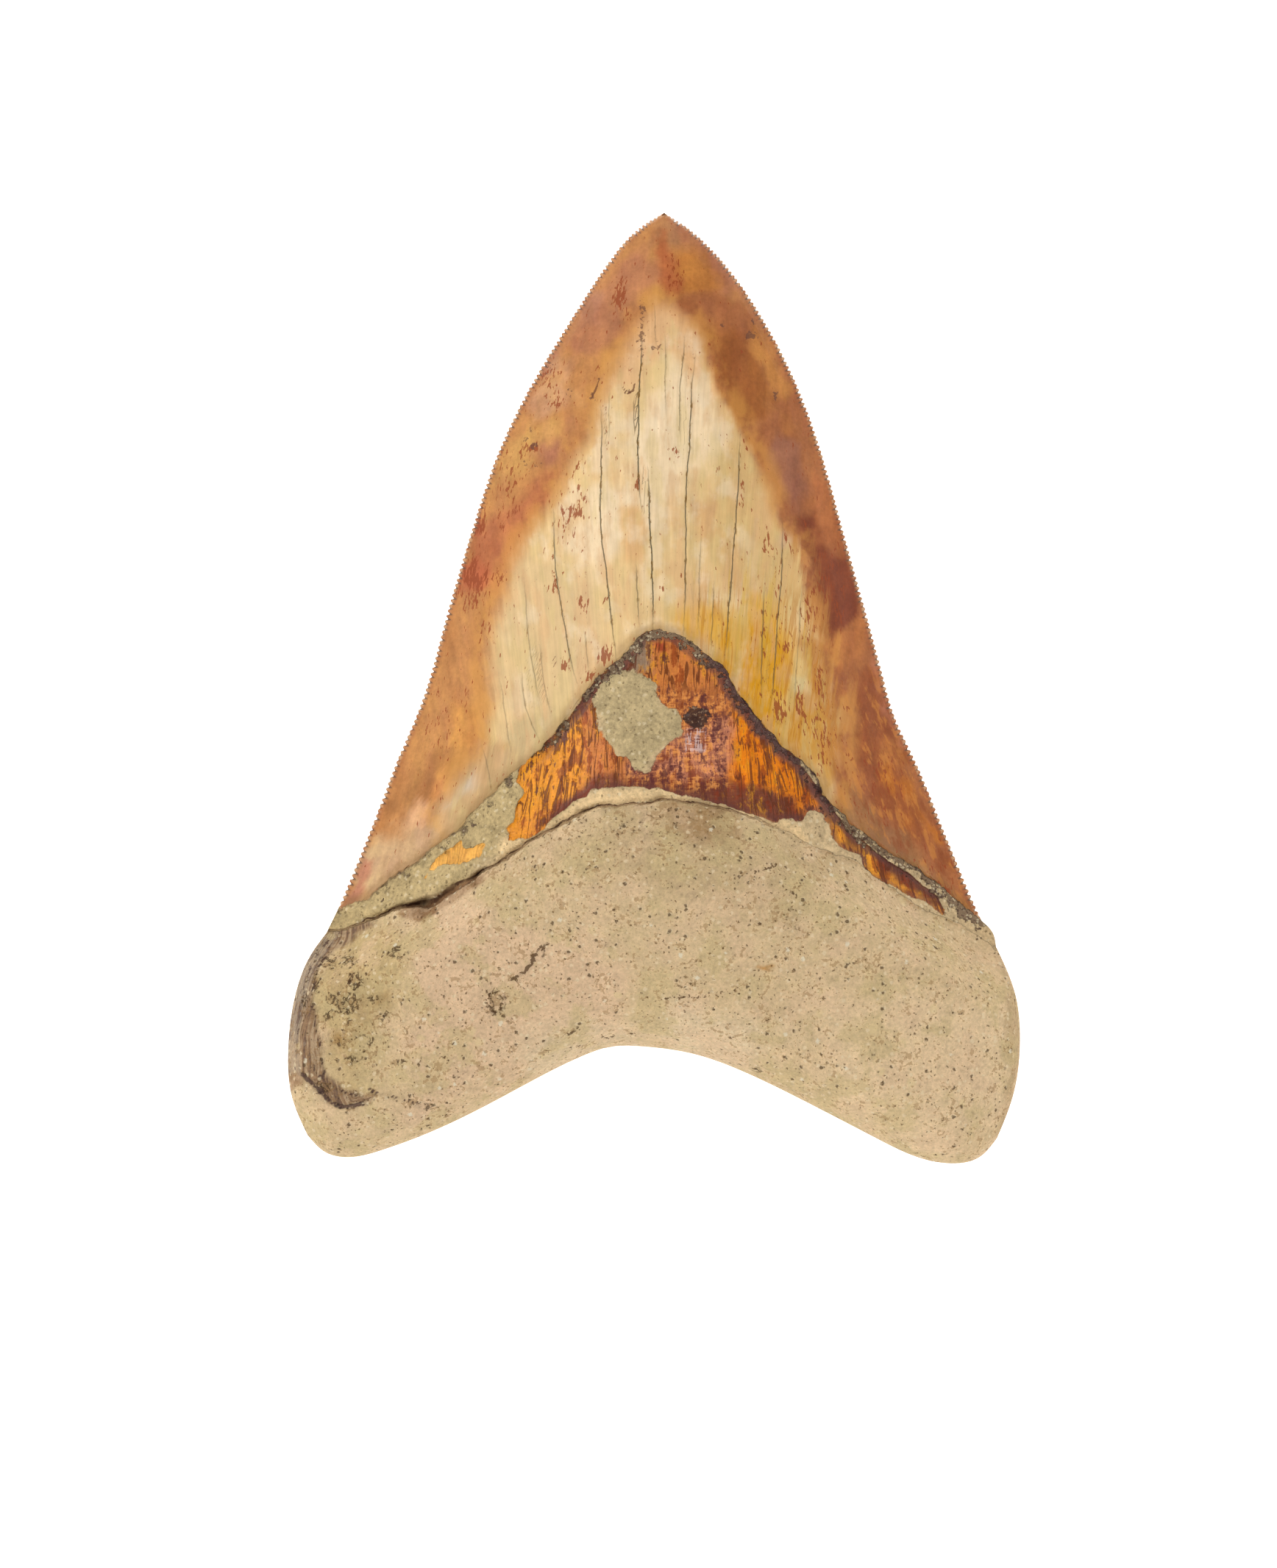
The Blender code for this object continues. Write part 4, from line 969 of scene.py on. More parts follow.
STAIN_LINES = [
    (0.8, 0.42, [
        (-15.8, -37.7), (-17.2, -38.6), (-17.7, -40.2), (-18.8, -41.5), (-19.9, -42.5), (-21.2, -42.9)]),
    (0.5, 0.25, [(-19.3, -44.6), (-18.5, -44.3), (-17.7, -44.6)]),
    (0.6, 0.28, [
        (-23.4, -44.0), (-24.5, -46.4), (-23.4, -47.7), (-22.3, -46.7), (-22.6, -47.7), (-25.0, -48.6),
        (-25.6, -49.6)]),
    (0.5, 0.25, [(-28.0, -51.3), (-29.1, -51.8), (-29.6, -53.1)]),
    (0.5, 0.25, [(-31.5, -53.7), (-29.9, -54.5), (-30.4, -55.6), (-29.1, -55.0)]),
    (0.7, 0.25, [
        (-44.9, -42.1), (-43.4, -42.3), (-43.0, -43.3), (-43.5, -44.2), (-44.3, -44.1), (-44.7, -43.4),
        (-44.1, -42.9)]),
    (0.6, 0.25, [
        (-38.8, -39.2), (-38.3, -38.2), (-37.2, -37.7), (-37.0, -39.1), (-37.4, -40.0), (-36.4, -40.7)]),
    (0.5, 0.3, [(0.0, -37.5), (1.4, -37.3), (2.7, -36.9)]),
    (0.65, 0.25, [(1.1, -45.6), (2.4, -45.4), (3.8, -45.2), (6.5, -45.4), (9.2, -45.1), (10.5, -44.7),
                (12.4, -44.7)]),
    (0.55, 0.25, [(-13.0, -51.2), (-11.1, -50.1), (-8.1, -49.7)]),
    (0.5, 0.25, [(-7.7, -51.3), (-6.5, -51.4), (-5.3, -50.9)]),
    (0.5, 0.4, [(18.6, -26.6), (19.2, -28.8), (19.5, -30.9), (19.2, -32.3)]),
    (0.7, 0.3, [(15.4, -26.9), (16.5, -26.6), (17.6, -26.1)]),
    (0.5, 0.3, [(14.2, -25.5), (14.6, -27.3)]),
    (0.9, 0.2, [(-9.2, 42.3), (-8.9, 43.0), (-8.4, 44.0), (-8.1, 45.2)]),
    (0.9, 0.2, [(-4.6, 43.9), (-4.3, 43.3), (-3.6, 43.1), (-3.0, 43.5), (-2.9, 44.4)]),
    (0.8, 0.2, [(-14.7, 4.0), (-14.3, 2.8), (-14.6, 2.0), (-14.2, 1.2)]),
]


def sprinkle(x, y, spots):
    """Densities from soft spots: the largest of strength times hump."""
    return np.max([strength * hump(x, y, centre, reach) for centre, reach, strength in spots], axis=0)


def stains(x, y):
    """Densities along the stain lines: strength times e to the minus squared distance, counted in widths."""
    density = np.zeros(len(x))
    for strength, width, line in STAIN_LINES:
        distance = line_field(x, y, np.array(line))[0]
        density = np.maximum(density, strength * np.exp(-((distance / width) ** 2)))
    return density


# %% Store the fields
CRUST = [
    (-46, 0.1), (-28, 0.15), (-15, 0.3), (-8, 0.6), (-3, 1), (6, 1), (14, 0.6), (25, 0.4), (30, 0.6),
    (48, 0.9),
]
LABIAL_CRACK_STRETCH, LABIAL_CRACK_SHIFT = 1.07, 3.0
to_edge = np.min([line_field(x, y, smooth_curve(edge, 80))[0] for edge in (LEFT_EDGE, RIGHT_EDGE)], axis=0)
crack_x = np.where(labial, -LABIAL_CRACK_STRETCH * x, x)
crack, crack_strength = crack_field(crack_x, y + np.where(labial, LABIAL_CRACK_SHIFT, 0.0))
layered, layer_depth = rim_layers(x, y)
fields = {
    "enamel": zone["enamel"],
    "root": zone["root"],
    "amber": zone["amber"],
    "patch": zone["patch"],
    "nodule": zone["nodule"],
    "ivory": patch_field(wash_x, wash_y, IVORY_HEART),
    "crust": np.where(labial, 0.2, np.interp(x, *np.array(CRUST).T)),
    "crevice": np.where(labial, 0.25, crevice_shape(x)[0]),
    "crevice_depth": np.where(labial, 0.2, crevice_shape(x)[1]),
    "edge": to_edge,
    "notch": notch,
    "crack": crack,
    "crack_strength": crack_strength,
    "rust": sprinkle(wash_x, wash_y, RUST_SPOTS),
    "soot": np.where(labial, 0, sprinkle(x, y, SOOT_SPOTS)),
    "stain": np.where(labial, 0, stains(x, y)),
    "layer_shade_and_infill": np.where(labial, 0, layer_steps(x, y)[1]),
    "layered": np.where(labial, 0, layered),
    "layer_depth": layer_depth,
}

# %% [markdown]
# ## The finished surface
#
# The arrays go into one mesh, the double points are welded, and the sharp creases keep their edge while all
# the rest is shaded smooth. A count of the edges that don't have exactly two faces shows whether it is
# closed.

# %% Weld the tooth
surface = bpy.data.meshes.new("fossil_tooth")
surface.from_pydata(np.stack([x, y, z], axis=1) * MM, [], faces)
for name, values in fields.items():
    layer = surface.attributes.new(name, "FLOAT", "POINT")
    layer.data.foreach_set("value", np.asarray(values, np.float32))
for name, values in colours.items():
    layer = surface.attributes.new(name, "FLOAT_COLOR", "POINT")
    opaque = np.concatenate([values, np.ones((len(values), 1))], axis=1)
    layer.data.foreach_set("color", opaque.astype(np.float32).ravel())

WELD_DISTANCE, CREASE_ANGLE = 1e-7, 65
welded = bmesh.new()
welded.from_mesh(surface)
bmesh.ops.remove_doubles(welded, verts=welded.verts, dist=WELD_DISTANCE)
bmesh.ops.recalc_face_normals(welded, faces=welded.faces)
open_edges = sum(not edge.is_manifold for edge in welded.edges)
print("volume", round(welded.calc_volume() * 1e6, 1), "cubic cm, open edges:", open_edges)
welded.to_mesh(surface)
welded.free()
surface.shade_smooth()
surface.set_sharp_from_angle(angle=math.radians(CREASE_ANGLE))
surface.calc_loop_triangles()
print(len(surface.loop_triangles), "triangles")
tooth = bpy.data.objects.new("fossil_tooth", surface)
bpy.context.scene.collection.objects.link(tooth)
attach(tooth, "root")
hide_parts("tooth")

# %% [markdown]
# ## Shader maths written as sums
#
# A material is a tree of nodes, and a tree with a hundred links is hard to read. The class below wraps one
# output socket. Adding or multiplying two wrapped sockets adds the Math node that does it, so a mask can be
# written as a formula. All other nodes come from its one method.

# %% The socket class
class Signal:
    """One output socket. Arithmetic on values adds Math nodes, and node() adds any other node."""

    def __init__(self, tree, socket=None):
        self.tree = tree
        self.socket = socket

    def node(self, kind, settings=None, inputs=None, output=0):
        """Adds a node: first its settings, then a number, a colour or a link for each named socket."""
        made = self.tree.nodes.new("ShaderNode" + kind)
        for name, value in (settings or {}).items():
            setattr(made, name, value)
        for name, value in (inputs or {}).items():
            if isinstance(value, Signal):
                self.tree.links.new(value.socket, made.inputs[name])
            else:
                made.inputs[name].default_value = value
        return Signal(self.tree, made.outputs[output])

    def beside(self, output):
        """Another output of the same node."""
        return Signal(self.tree, self.socket.node.outputs[output])

    def maths(self, operation, *values):
        """A Math node, with the values in the order of its sockets."""
        return self.node("Math", {"operation": operation}, dict(enumerate(values)))

    def __add__(self, other):
        return self.maths("ADD", self, other)

    def __sub__(self, other):
        return self.maths("SUBTRACT", self, other)

    def __rsub__(self, other):
        return self.maths("SUBTRACT", other, self)

    def __mul__(self, other):
        return self.maths("MULTIPLY", self, other)

    __rmul__ = __mul__

    def __truediv__(self, other):
        return self.maths("DIVIDE", self, other)

    def __abs__(self):
        return self.maths("ABSOLUTE", self)


# %% Helpers for values and colours
def above(value, start, end):
    """0 where the value is below start, 1 above end, and an S-shaped ramp between."""
    limits = {"Value": value, "From Min": start, "From Max": end}
    return value.node("MapRange", {"interpolation_type": "SMOOTHSTEP"}, limits)


def near(value, reach, soft):
    """1 where the value is within reach of 0, and 0 once it is soft further away."""
    return 1 - above(abs(value), reach, reach + soft)


def lay(under, over, share):
    """One value laid over another: under + (over - under) times share."""
    return (over - under) * share + under


def paint_over(colour, paint, share):
    """A paint laid over a colour with a Mix node: a share of 0 leaves the colour, and 1 hides it."""
    under, over = (c if isinstance(c, Signal) else (*c, 1) for c in (colour, paint))
    return share.node("Mix", {"data_type": "RGBA"}, {0: share, 6: under, 7: over}, output=2)


def coats(colour, *layers):
    """Lays paints over a colour in turn. Each layer is a paint and its share."""
    for paint, share in layers:
        colour = paint_over(colour, paint, share)
    return colour


def palette(**colours):
    """Paints by name, from their colours as a screen shows them."""
    return {name: tone(*colour) for name, colour in colours.items()}


def shade(colour, value):
    """Each channel times a value, with a Vector Math node."""
    return colour.node("VectorMath", {"operation": "SCALE"}, {0: colour, "Scale": value})


def tint(colour, red, green, blue):
    """Each channel times its own number."""
    return colour.node("VectorMath", {"operation": "MULTIPLY"}, {0: colour, 1: (red, green, blue)})


def noise(place, size, detail=2.0, roughness=0.5, distortion=0.0):
    """Soft random values around 0.5, in lumps about size millimetres across."""
    inputs = {"Vector": place, "Scale": 1 / size, "Detail": detail}
    inputs.update({"Roughness": roughness, "Distortion": distortion})
    return place.node("TexNoise", {}, inputs)


def squiggle(value, width):
    """Thin winding lines: they run where a noise crosses its middle value."""
    return near(value - 0.5, width, width)


def spots(place, size, reach, share):
    """Dots: one cell in every size millimetres, of which the given share holds a dot of this reach."""
    distance = place.node("TexVoronoi", {}, {"Vector": place, "Scale": 1 / size}, "Distance")
    lot = distance.node("SeparateColor", {}, {0: distance.beside("Color")})
    chosen = above(lot, 1 - share, 1.02 - share)
    return (1 - above(distance, 0.6 * reach / size, 1.2 * reach / size)) * chosen


# %% [markdown]
# ## The material
#
# One material covers the tooth, because its tissues meet along ragged lines rather than at joints. It reads
# the stored distances, roughens them once more with fine noise, and turns each one into a mask.

# %% Coordinates and masks
finish = bpy.data.materials.new("fossil_tooth")
finish.use_nodes = True
tree = finish.node_tree
shader = tree.nodes["Principled BSDF"]
start = Signal(tree)


def stored(name, output="Fac"):
    """A value or colour that the mesh stores for each point."""
    return start.node("Attribute", {"attribute_name": name}, {}, output)


def point(across, up, height):
    """Three values as one place, so that a texture can be stretched."""
    return start.node("CombineXYZ", {}, {0: across, 1: up, 2: height})


metres = start.node("TexCoord", {}, {}, "Object")
place = metres.node("VectorMath", {"operation": "SCALE"}, {0: metres, "Scale": 1 / MM})
across, up, height = (place.node("SeparateXYZ", {}, {0: place}, axis) for axis in "XYZ")
growth = across / (abs(up + 8) * 0.0065 + 0.95)

grit = noise(place, 0.5, detail=5, roughness=0.65)
crumb = noise(place, 1.1, detail=4, roughness=0.6) - 0.5
cloud = noise(place, 7.0, detail=6, roughness=0.6)
mottle = noise(place, 2.4, detail=5, roughness=0.65)
fleck = noise(place, 0.55, detail=3, roughness=0.6)
dull = noise(place, 2.2, detail=3)
streak = noise(point(growth, up * 0.05, height * 0.15), 1.0, detail=4, roughness=0.62)
hair = noise(point(growth, up * 0.04, height * 0.1), 0.28, detail=2, roughness=0.6)
strip = noise(point(growth, up * 0.25, height * 0.2), 2.4, detail=4, roughness=0.6)
blotch = noise(point(growth, up * 0.6, height * 0.3), 3.6, detail=5, roughness=0.55)
jolt = noise(place, 0.4, detail=2).beside("Color")
jagged = jolt.node("VectorMath", {"operation": "MULTIPLY_ADD"}, {0: jolt, 1: (0.6, 0.6, 0.6), 2: place})

root_distance = stored("root")
enamel_distance = stored("enamel")
on_root = above(root_distance + crumb * 0.9, -0.07, 0.07)
on_enamel = above(enamel_distance + crumb * 0.8, -0.06, 0.06)
on_patch = above(stored("patch") + crumb * 1.2, -0.15, 0.15)
on_amber = above(stored("amber") + crumb * 0.9, -0.08, 0.12) * (1 - on_patch)
nodule = above(stored("nodule") + crumb * 1.6, 0.0, 0.15)
soot = stored("soot")
stain = stored("stain")

# %% [markdown]
# ## Enamel
#
# Fossil enamel is stained by minerals from the edges inwards and stays ivory in the middle, with a honey
# fringe where the two meet. Fine streaks follow the growth lines, rust sits in specks, and old dirt has
# gathered in the cracks. The notches between the serrations are painted darker.

# %% Where the ivory heart ends
teeth = near(up - 9, 8, 10) * above(across, 0, 12)
heart = stored("ivory") + (streak - 0.5) * (teeth * 5 + 1) + (blotch - 0.5) * 2.0
crisp = above(across, -5, 7) * lay(near(up - 40, 5, 8), 0.7, 1 - above(up, 22, 30))
in_heart = above(heart / lay(2.4, 0.9, crisp), -0.8, 0.8)
golden = near(across - 15, 7, 6) * near(up - 3 + (streak - 0.5) * 12, 9, 9)

# %% The stained sides
SIDE_PAINTS = palette(flame=(208, 134, 60), russet=(140, 72, 36))
sides = stored("side_wash", "Color")
sides = paint_over(sides, tint(sides, 1.22, 1.30, 1.20), above(blotch, 0.48, 0.66) * 0.6)
sides = paint_over(sides, tint(sides, 0.82, 0.74, 0.70), (1 - above(blotch, 0.34, 0.52)) * 0.6)
sides = paint_over(sides, tint(sides, 0.94, 0.90, 1.02), above(strip, 0.48, 0.62) * 0.6)
sides = shade(sides, (mottle - 0.5) * 0.50 + (fleck - 0.5) * 0.45 + (streak - 0.5) * 0.50 + 1)
flame = noise(point(across + up * 0.3, up * 0.4, height), 1.7, detail=4, roughness=0.6)
low_right = above(across, 23, 31) * (1 - above(up, -3, 6))
sides = coats(
    sides,
    (SIDE_PAINTS["flame"], above(flame, 0.52, 0.62) * low_right * 0.50),
    (SIDE_PAINTS["russet"], (1 - above(flame, 0.38, 0.47)) * low_right * 0.55),
)

# %% The ivory heart
IVORY_PAINTS = palette(
    straw=(212, 186, 126), peach=(212, 166, 118), pale=(238, 216, 182), ochre=(168, 104, 12),
    lemon=(230, 186, 82),
)
ivory = coats(
    stored("ivory_wash", "Color"),
    (IVORY_PAINTS["straw"], above(strip, 0.50, 0.62) * 0.40),
    (IVORY_PAINTS["peach"], (1 - above(strip, 0.38, 0.50)) * 0.45),
    (IVORY_PAINTS["pale"], above(blotch, 0.48, 0.66) * near(across + 3, 13, 8) * 0.45),
)
lively = golden * 1.2 + 1
ivory = shade(ivory, ((streak - 0.5) * 0.50 + (hair - 0.5) * 0.28) * lively + (mottle - 0.5) * 0.30 + 1)
ivory = coats(
    ivory,
    (IVORY_PAINTS["ochre"], above(streak + (hair - 0.5) * 0.5, 0.52, 0.66) * golden * 0.6),
    (IVORY_PAINTS["lemon"], (1 - above(streak, 0.34, 0.46)) * golden * 0.45),
)

# %% Rust, dirt, cracks, painted shade and highlight on the enamel
ENAMEL_PAINTS = palette(
    honey=(212, 150, 70), dirt=(134, 98, 50), rust=(146, 68, 32), soot=(96, 62, 50), stain=(104, 62, 40),
    crack=(84, 78, 56), bead=(130, 96, 44), rim=(176, 100, 66), chip=(214, 178, 136), notch=(92, 74, 58),
)
# Painted shade mixed with dirt: the enamel darkens over the first 2 mm above the chevron, where it meets the
# band.
dirty = 1 - above(enamel_distance + crumb * 1.2, 0.3, 1.8)
dash = noise(point(across, up * 0.22, height), 0.42, detail=3, roughness=0.6)
rust_share = above(dash + (dull - 0.5) * 0.3 + stored("rust") * 0.23, 0.67, 0.715)
crack = stored("crack")
crack_strength = stored("crack_strength")
crack_line = near(crack + crumb * 0.12, 0.03, 0.11) * crack_strength
beads = near(crack + crumb * 0.4, 0.12, 0.20) * above(dash, 0.55, 0.62) * crack_strength
to_edge = stored("edge")
enamel = coats(
    paint_over(sides, ivory, in_heart),
    (ENAMEL_PAINTS["honey"], near(heart + 1.0, 0.5, 2.0) * above(blotch, 0.38, 0.55) * 0.45),
    # painted shade mixed with dirt just above the chevron
    (ENAMEL_PAINTS["dirt"], dirty * (1 - golden * 0.5) * 0.45),
    (ENAMEL_PAINTS["rust"], rust_share * 0.85),
    (ENAMEL_PAINTS["soot"], above(lay(grit, fleck, 0.5) + soot * 0.20, 0.64, 0.70) * 0.7),
    (ENAMEL_PAINTS["stain"], above(stain + (grit - 0.5) * 1.2, 0.42, 0.62) * 0.8),
    (ENAMEL_PAINTS["crack"], crack_line * 0.95),
    (ENAMEL_PAINTS["bead"], beads * 0.8),
    (ENAMEL_PAINTS["rim"], (1 - above(to_edge + crumb, 0.2, 1.1)) * 0.45),
    # pale along the cutting edge: chipped enamel with a painted highlight on the serrations
    (ENAMEL_PAINTS["chip"], (1 - above(to_edge, 0.25, 0.7)) * above(grit, 0.42, 0.56) * 0.7),
    # darker in the notches between the serrations
    (ENAMEL_PAINTS["notch"], above(stored("notch"), 0.15, 0.6) * 0.75),
)

# %% [markdown]
# ## Amber band and sediment
#
# The band is thin and glassy, so its colour runs from amber to dark red-brown, and dark threads branch down
# it. Its middle was scratched when the sediment was cleaned away. The sediment is dull sandy clay: grains a
# few tenths of a millimetre wide, some dark and some pale.

# %% The amber band
BAND_PAINTS = palette(
    amber=(244, 166, 26), red_brown=(134, 52, 18), pool=(104, 48, 44), hatch=(240, 160, 84),
    thread=(96, 44, 18),
    purple=(90, 44, 44), border=(100, 58, 52), strip=(108, 70, 62), glint=(222, 190, 182),
)
thread_noise = noise(point(growth, up * 0.12, height * 0.3), 1.2, detail=2, roughness=0.5, distortion=0.8)
thread = squiggle(thread_noise, 0.022) * above(mottle, 0.38, 0.48)
scratched = near(across - 3.3, 6.2, 3.0) * near(up + 8.0, 6.0, 3.0)
level = noise(point(across * 0.12, up, height * 0.3), 0.35, detail=3, roughness=0.6)
upright = noise(point(across, up * 0.12, height * 0.3), 0.35, detail=3, roughness=0.6)
marble = noise(point(growth, up * 0.4, height * 0.3), 1.9, detail=5, roughness=0.7)
veined = above(across, -24, -21) * 0.75 + 0.25
hatch = above(level * 0.8 + upright * 0.6 - crumb * 0.5, 0.64, 0.80) * scratched
pool = above(marble * 0.7 + crumb * 0.3 + level * 0.3, 0.46, 0.56)
purple = above(marble * 0.6 + upright * 0.3 + fleck * 0.2 + scratched * 0.04, 0.60, 0.65)
border = (1 - above(stored("amber") + crumb * 1.4, 0.2, 1.3)) * above(across, -17, -12)
border_strip = near(enamel_distance + crumb * 1.4 + 0.9, 0.5, 0.6) * above(across, -18, -13)
glints = near(across - 6, 1.2, 0.5) * near(up + 7.9, 1.4, 0.6) * above(upright + level * 0.5, 0.72, 0.82)
band = coats(
    stored("band_wash", "Color"),
    (BAND_PAINTS["amber"], above(marble, 0.53, 0.62) * (1 - scratched) * 0.5),
    (BAND_PAINTS["red_brown"], (1 - above(marble, 0.40, 0.48)) * veined * 0.75),
)
band = coats(
    shade(band, level * 0.40 + upright * 0.75 + streak * 0.9 + fleck * 0.6 - 0.32),
    (BAND_PAINTS["pool"], scratched * lay(0.25, 0.85, pool) * (1 - hatch)),
    (BAND_PAINTS["hatch"], hatch * (1 - pool) * 0.7),
    (BAND_PAINTS["thread"], thread * (1 - scratched) * veined * 0.8),
    (BAND_PAINTS["purple"], purple * near(across - 8, 28, 2) * 0.8),
    (BAND_PAINTS["border"], border * 0.55),
    (BAND_PAINTS["strip"], border_strip * 0.65),
    (BAND_PAINTS["glint"], glints * 0.7),
)

# %% The crust and the sediment
CRUST_PAINTS = palette(mid=(156, 130, 102), dark=(82, 60, 52), pale=(222, 202, 166), mauve=(116, 86, 80))
crust_reach = stored("crust")
crust_place = enamel_distance + crumb * 4.5 + (mottle - 0.5) * 3.5 + crust_reach * 0.5
crust = near(crust_place, 0.50, 0.20) * above(crust_reach * 0.5 + mottle, 0.62, 0.76)
mauve = near(across - 17, 8, 3)
crust_colour = coats(
    shade(paint_over(CRUST_PAINTS["mid"], CRUST_PAINTS["mauve"], mauve), grit * 1.2 + 0.40),
    (CRUST_PAINTS["dark"], above(lay(grit, fleck, 0.4), 0.50, 0.57) * 0.85),
    (CRUST_PAINTS["pale"], spots(jagged, 0.5, 0.22, 0.4) * (1 - mauve * 0.8) * 0.85),
)
GRAIN_PAINTS = palette(dark=(112, 92, 62), pale=(236, 216, 176))
sediment = coats(
    shade(stored("sediment_wash", "Color"), grit * 1.2 + fleck * 0.5 + dull * 0.9 - 0.25),
    (GRAIN_PAINTS["pale"], spots(jagged, 0.9, 0.32, 0.34) * 0.6),
    (GRAIN_PAINTS["dark"], spots(jagged, 0.6, 0.20, 0.30) * 0.6),
)

# %% [markdown]
# ## Root
#
# The root is porous and matt, like unglazed pottery. Its clay colour drifts between pink and olive, small
# pores and pale grains are sprinkled over it, and soot sits in the bowl and along a few old stains. Around
# the left lobe the outer layers have broken away, and their edges show as fine bands.

# %% The broken layers
LAYER_PAINTS = palette(
    outer=(164, 144, 122), inner=(158, 124, 92), pale=(198, 170, 136), dark=(100, 74, 66), line=(92, 68, 64),
)
layered = stored("layered")
layer_depth = stored("layer_depth")
bands = noise(point(layer_depth, up * 0.08, across * 0.08), 0.5, detail=3, roughness=0.6)
layers = coats(
    paint_over(LAYER_PAINTS["outer"], LAYER_PAINTS["inner"], above(layer_depth + crumb * 0.8, 1.4, 2.2)),
    (LAYER_PAINTS["pale"], (1 - above(bands + crumb * 0.2, 0.44, 0.50)) * 0.7),
    (LAYER_PAINTS["dark"], above(bands + crumb * 0.2, 0.55, 0.60) * 0.75),
)
layers = shade(layers, grit * 0.9 + fleck * 0.5 + 0.30)
# Painted shade at the foot of each broken layer, mixed with dark infill.
layer_shade_and_infill = above(stored("layer_shade_and_infill") + crumb * 1.5, 0.42, 0.70)

# %% Grains, pores and soot on the root
ROOT_PAINTS = palette(
    speck=(240, 218, 178), chip=(238, 228, 200), grain=(230, 204, 152), brown=(158, 122, 78),
    pore=(92, 66, 38),
    soot=(82, 62, 42), stain=(88, 62, 38),
)
# Pale dots just up and to the right of the large pores: a painted highlight on the rim of each pit.
glint = jagged.node("VectorMath", {"operation": "ADD"}, {0: jagged, 1: (-0.13, -0.11, 0.0)})
pores = spots(jagged, 1.3, 0.26, 0.34)
fine_pores = spots(jagged, 0.6, 0.14, 0.30)
brown_specks = above(fleck * 0.7 + dull * 0.6 + soot * 0.2, 0.73, 0.79)
scribble = squiggle(noise(place, 1.4, detail=4, roughness=0.65, distortion=0.6), 0.024)
sooty = above(lay(grit, fleck, 0.5) + soot * 0.10, 0.66, 0.73) * above(soot, 0.1, 0.4)
sooty = sooty + scribble * above(soot + crumb * 1.4, 0.22, 0.45)
root = coats(
    stored("root_wash", "Color"),
    (PINK_CLAY, above(cloud, 0.50, 0.62) * 0.5),
    (GREEN_CLAY, (1 - above(cloud, 0.40, 0.50)) * 0.6),
)
root = coats(
    shade(root, grit * 0.8 + fleck * 0.4 + mottle * 0.5 + dull * 0.4 + 0.05),
    (layers, layered * 0.92),
    (ROOT_PAINTS["speck"], spots(jagged, 0.9, 0.32, 0.26) * 0.6),
    (ROOT_PAINTS["chip"], spots(jagged, 2.2, 0.38, 0.16) * 0.7),
    # painted highlight on the rims of the large pores
    (ROOT_PAINTS["speck"], spots(glint, 1.3, 0.28, 0.34) * 0.5),
    (ROOT_PAINTS["grain"], spots(jagged, 4.2, 0.75, 0.35) * 0.55),
    (ROOT_PAINTS["brown"], brown_specks * 0.55),
    (ROOT_PAINTS["pore"], fine_pores * 0.7),
    (ROOT_PAINTS["pore"], pores * 0.8),
    (ROOT_PAINTS["soot"], sooty * 0.8),
    (ROOT_PAINTS["stain"], above(stain + (grit - 0.5) * 2.2 + crumb * 1.6, 0.46, 0.62) * 0.85),
    # painted shade and dark infill along the layer breaks
    (LAYER_PAINTS["line"], layer_shade_and_infill * 0.8),
)

# %% [markdown]
# ## All together
#
# The tissues are laid over one another in the order of their masks: sediment first, then the band with its
# crust, the enamel and the root, and last the crevice with its brown wall and a dark line in its depth,
# which is painted shade mixed with dark infill. A painted shadow runs along the band just below the enamel's
# edge. Roughness and height follow the same masks, so the glassy band shines where it is amber and stays
# dull under sediment.

# %% Join the tissues
JOIN_PAINTS = palette(
    shadow=(104, 72, 50), nodule=(60, 40, 32), nodule_grain=(156, 126, 100), wall=(140, 104, 72),
    crevice=(84, 56, 40),
)
rim_shadow = near(enamel_distance + crumb * 0.9 + 0.15, 0.05, 0.20) * (1 - on_patch)
rim_shadow = rim_shadow * above(mottle, 0.42, 0.55)
crevice_open = above(stored("crevice_depth"), 0.05, 0.5)
crevice_place = (root_distance + crumb * 0.8) / stored("crevice")
crevice_wall = near(crevice_place + 0.6, 0.6, 0.3) * crevice_open
# The dark line deep in the crevice: painted shade mixed with dark infill.
crevice_shade_and_infill = near(crevice_place + 1.0, 0.25, 0.35) * crevice_open
colour = coats(
    sediment,
    (band, on_amber),
    (JOIN_PAINTS["shadow"], rim_shadow * 0.6),
    (crust_colour, crust),
    (JOIN_PAINTS["nodule"], nodule * 0.9),
    (JOIN_PAINTS["nodule_grain"], nodule * above(grit, 0.55, 0.62) * 0.7),
    (enamel, on_enamel),
    (root, on_root),
    (JOIN_PAINTS["wall"], crevice_wall * 0.6),
    # painted shade and dark infill deep in the crevice
    (JOIN_PAINTS["crevice"], crevice_shade_and_infill * lay(0.35, 0.9, above(mottle, 0.42, 0.54))),
)

# %% Roughness and bump
MATT_SEDIMENT, MATT_ROOT, REFLECTION = 0.92, 0.88, 0.12
roughness = lay(MATT_SEDIMENT, streak * 0.16 + 0.20, on_amber * (1 - crust))
roughness = lay(roughness, streak * 0.20 + 0.28, on_enamel)
roughness = lay(roughness, MATT_ROOT, on_root)

relief = lay(grit * 0.40, thread * -0.05 + level * 0.06 + upright * 0.06, on_amber)
relief = lay(relief, grit * 0.7 + dull * 0.8, crust)
relief = lay(relief, streak * 0.03 + hair * 0.012 + fleck * 0.02 - crack_line * 0.06, on_enamel)
root_relief = grit * 0.45 + dull * 0.7 + bands * layered * 0.5 - layer_shade_and_infill * 0.25 - sooty * 0.15
relief = lay(relief, root_relief - pores * 0.25 - fine_pores * 0.1, on_root)

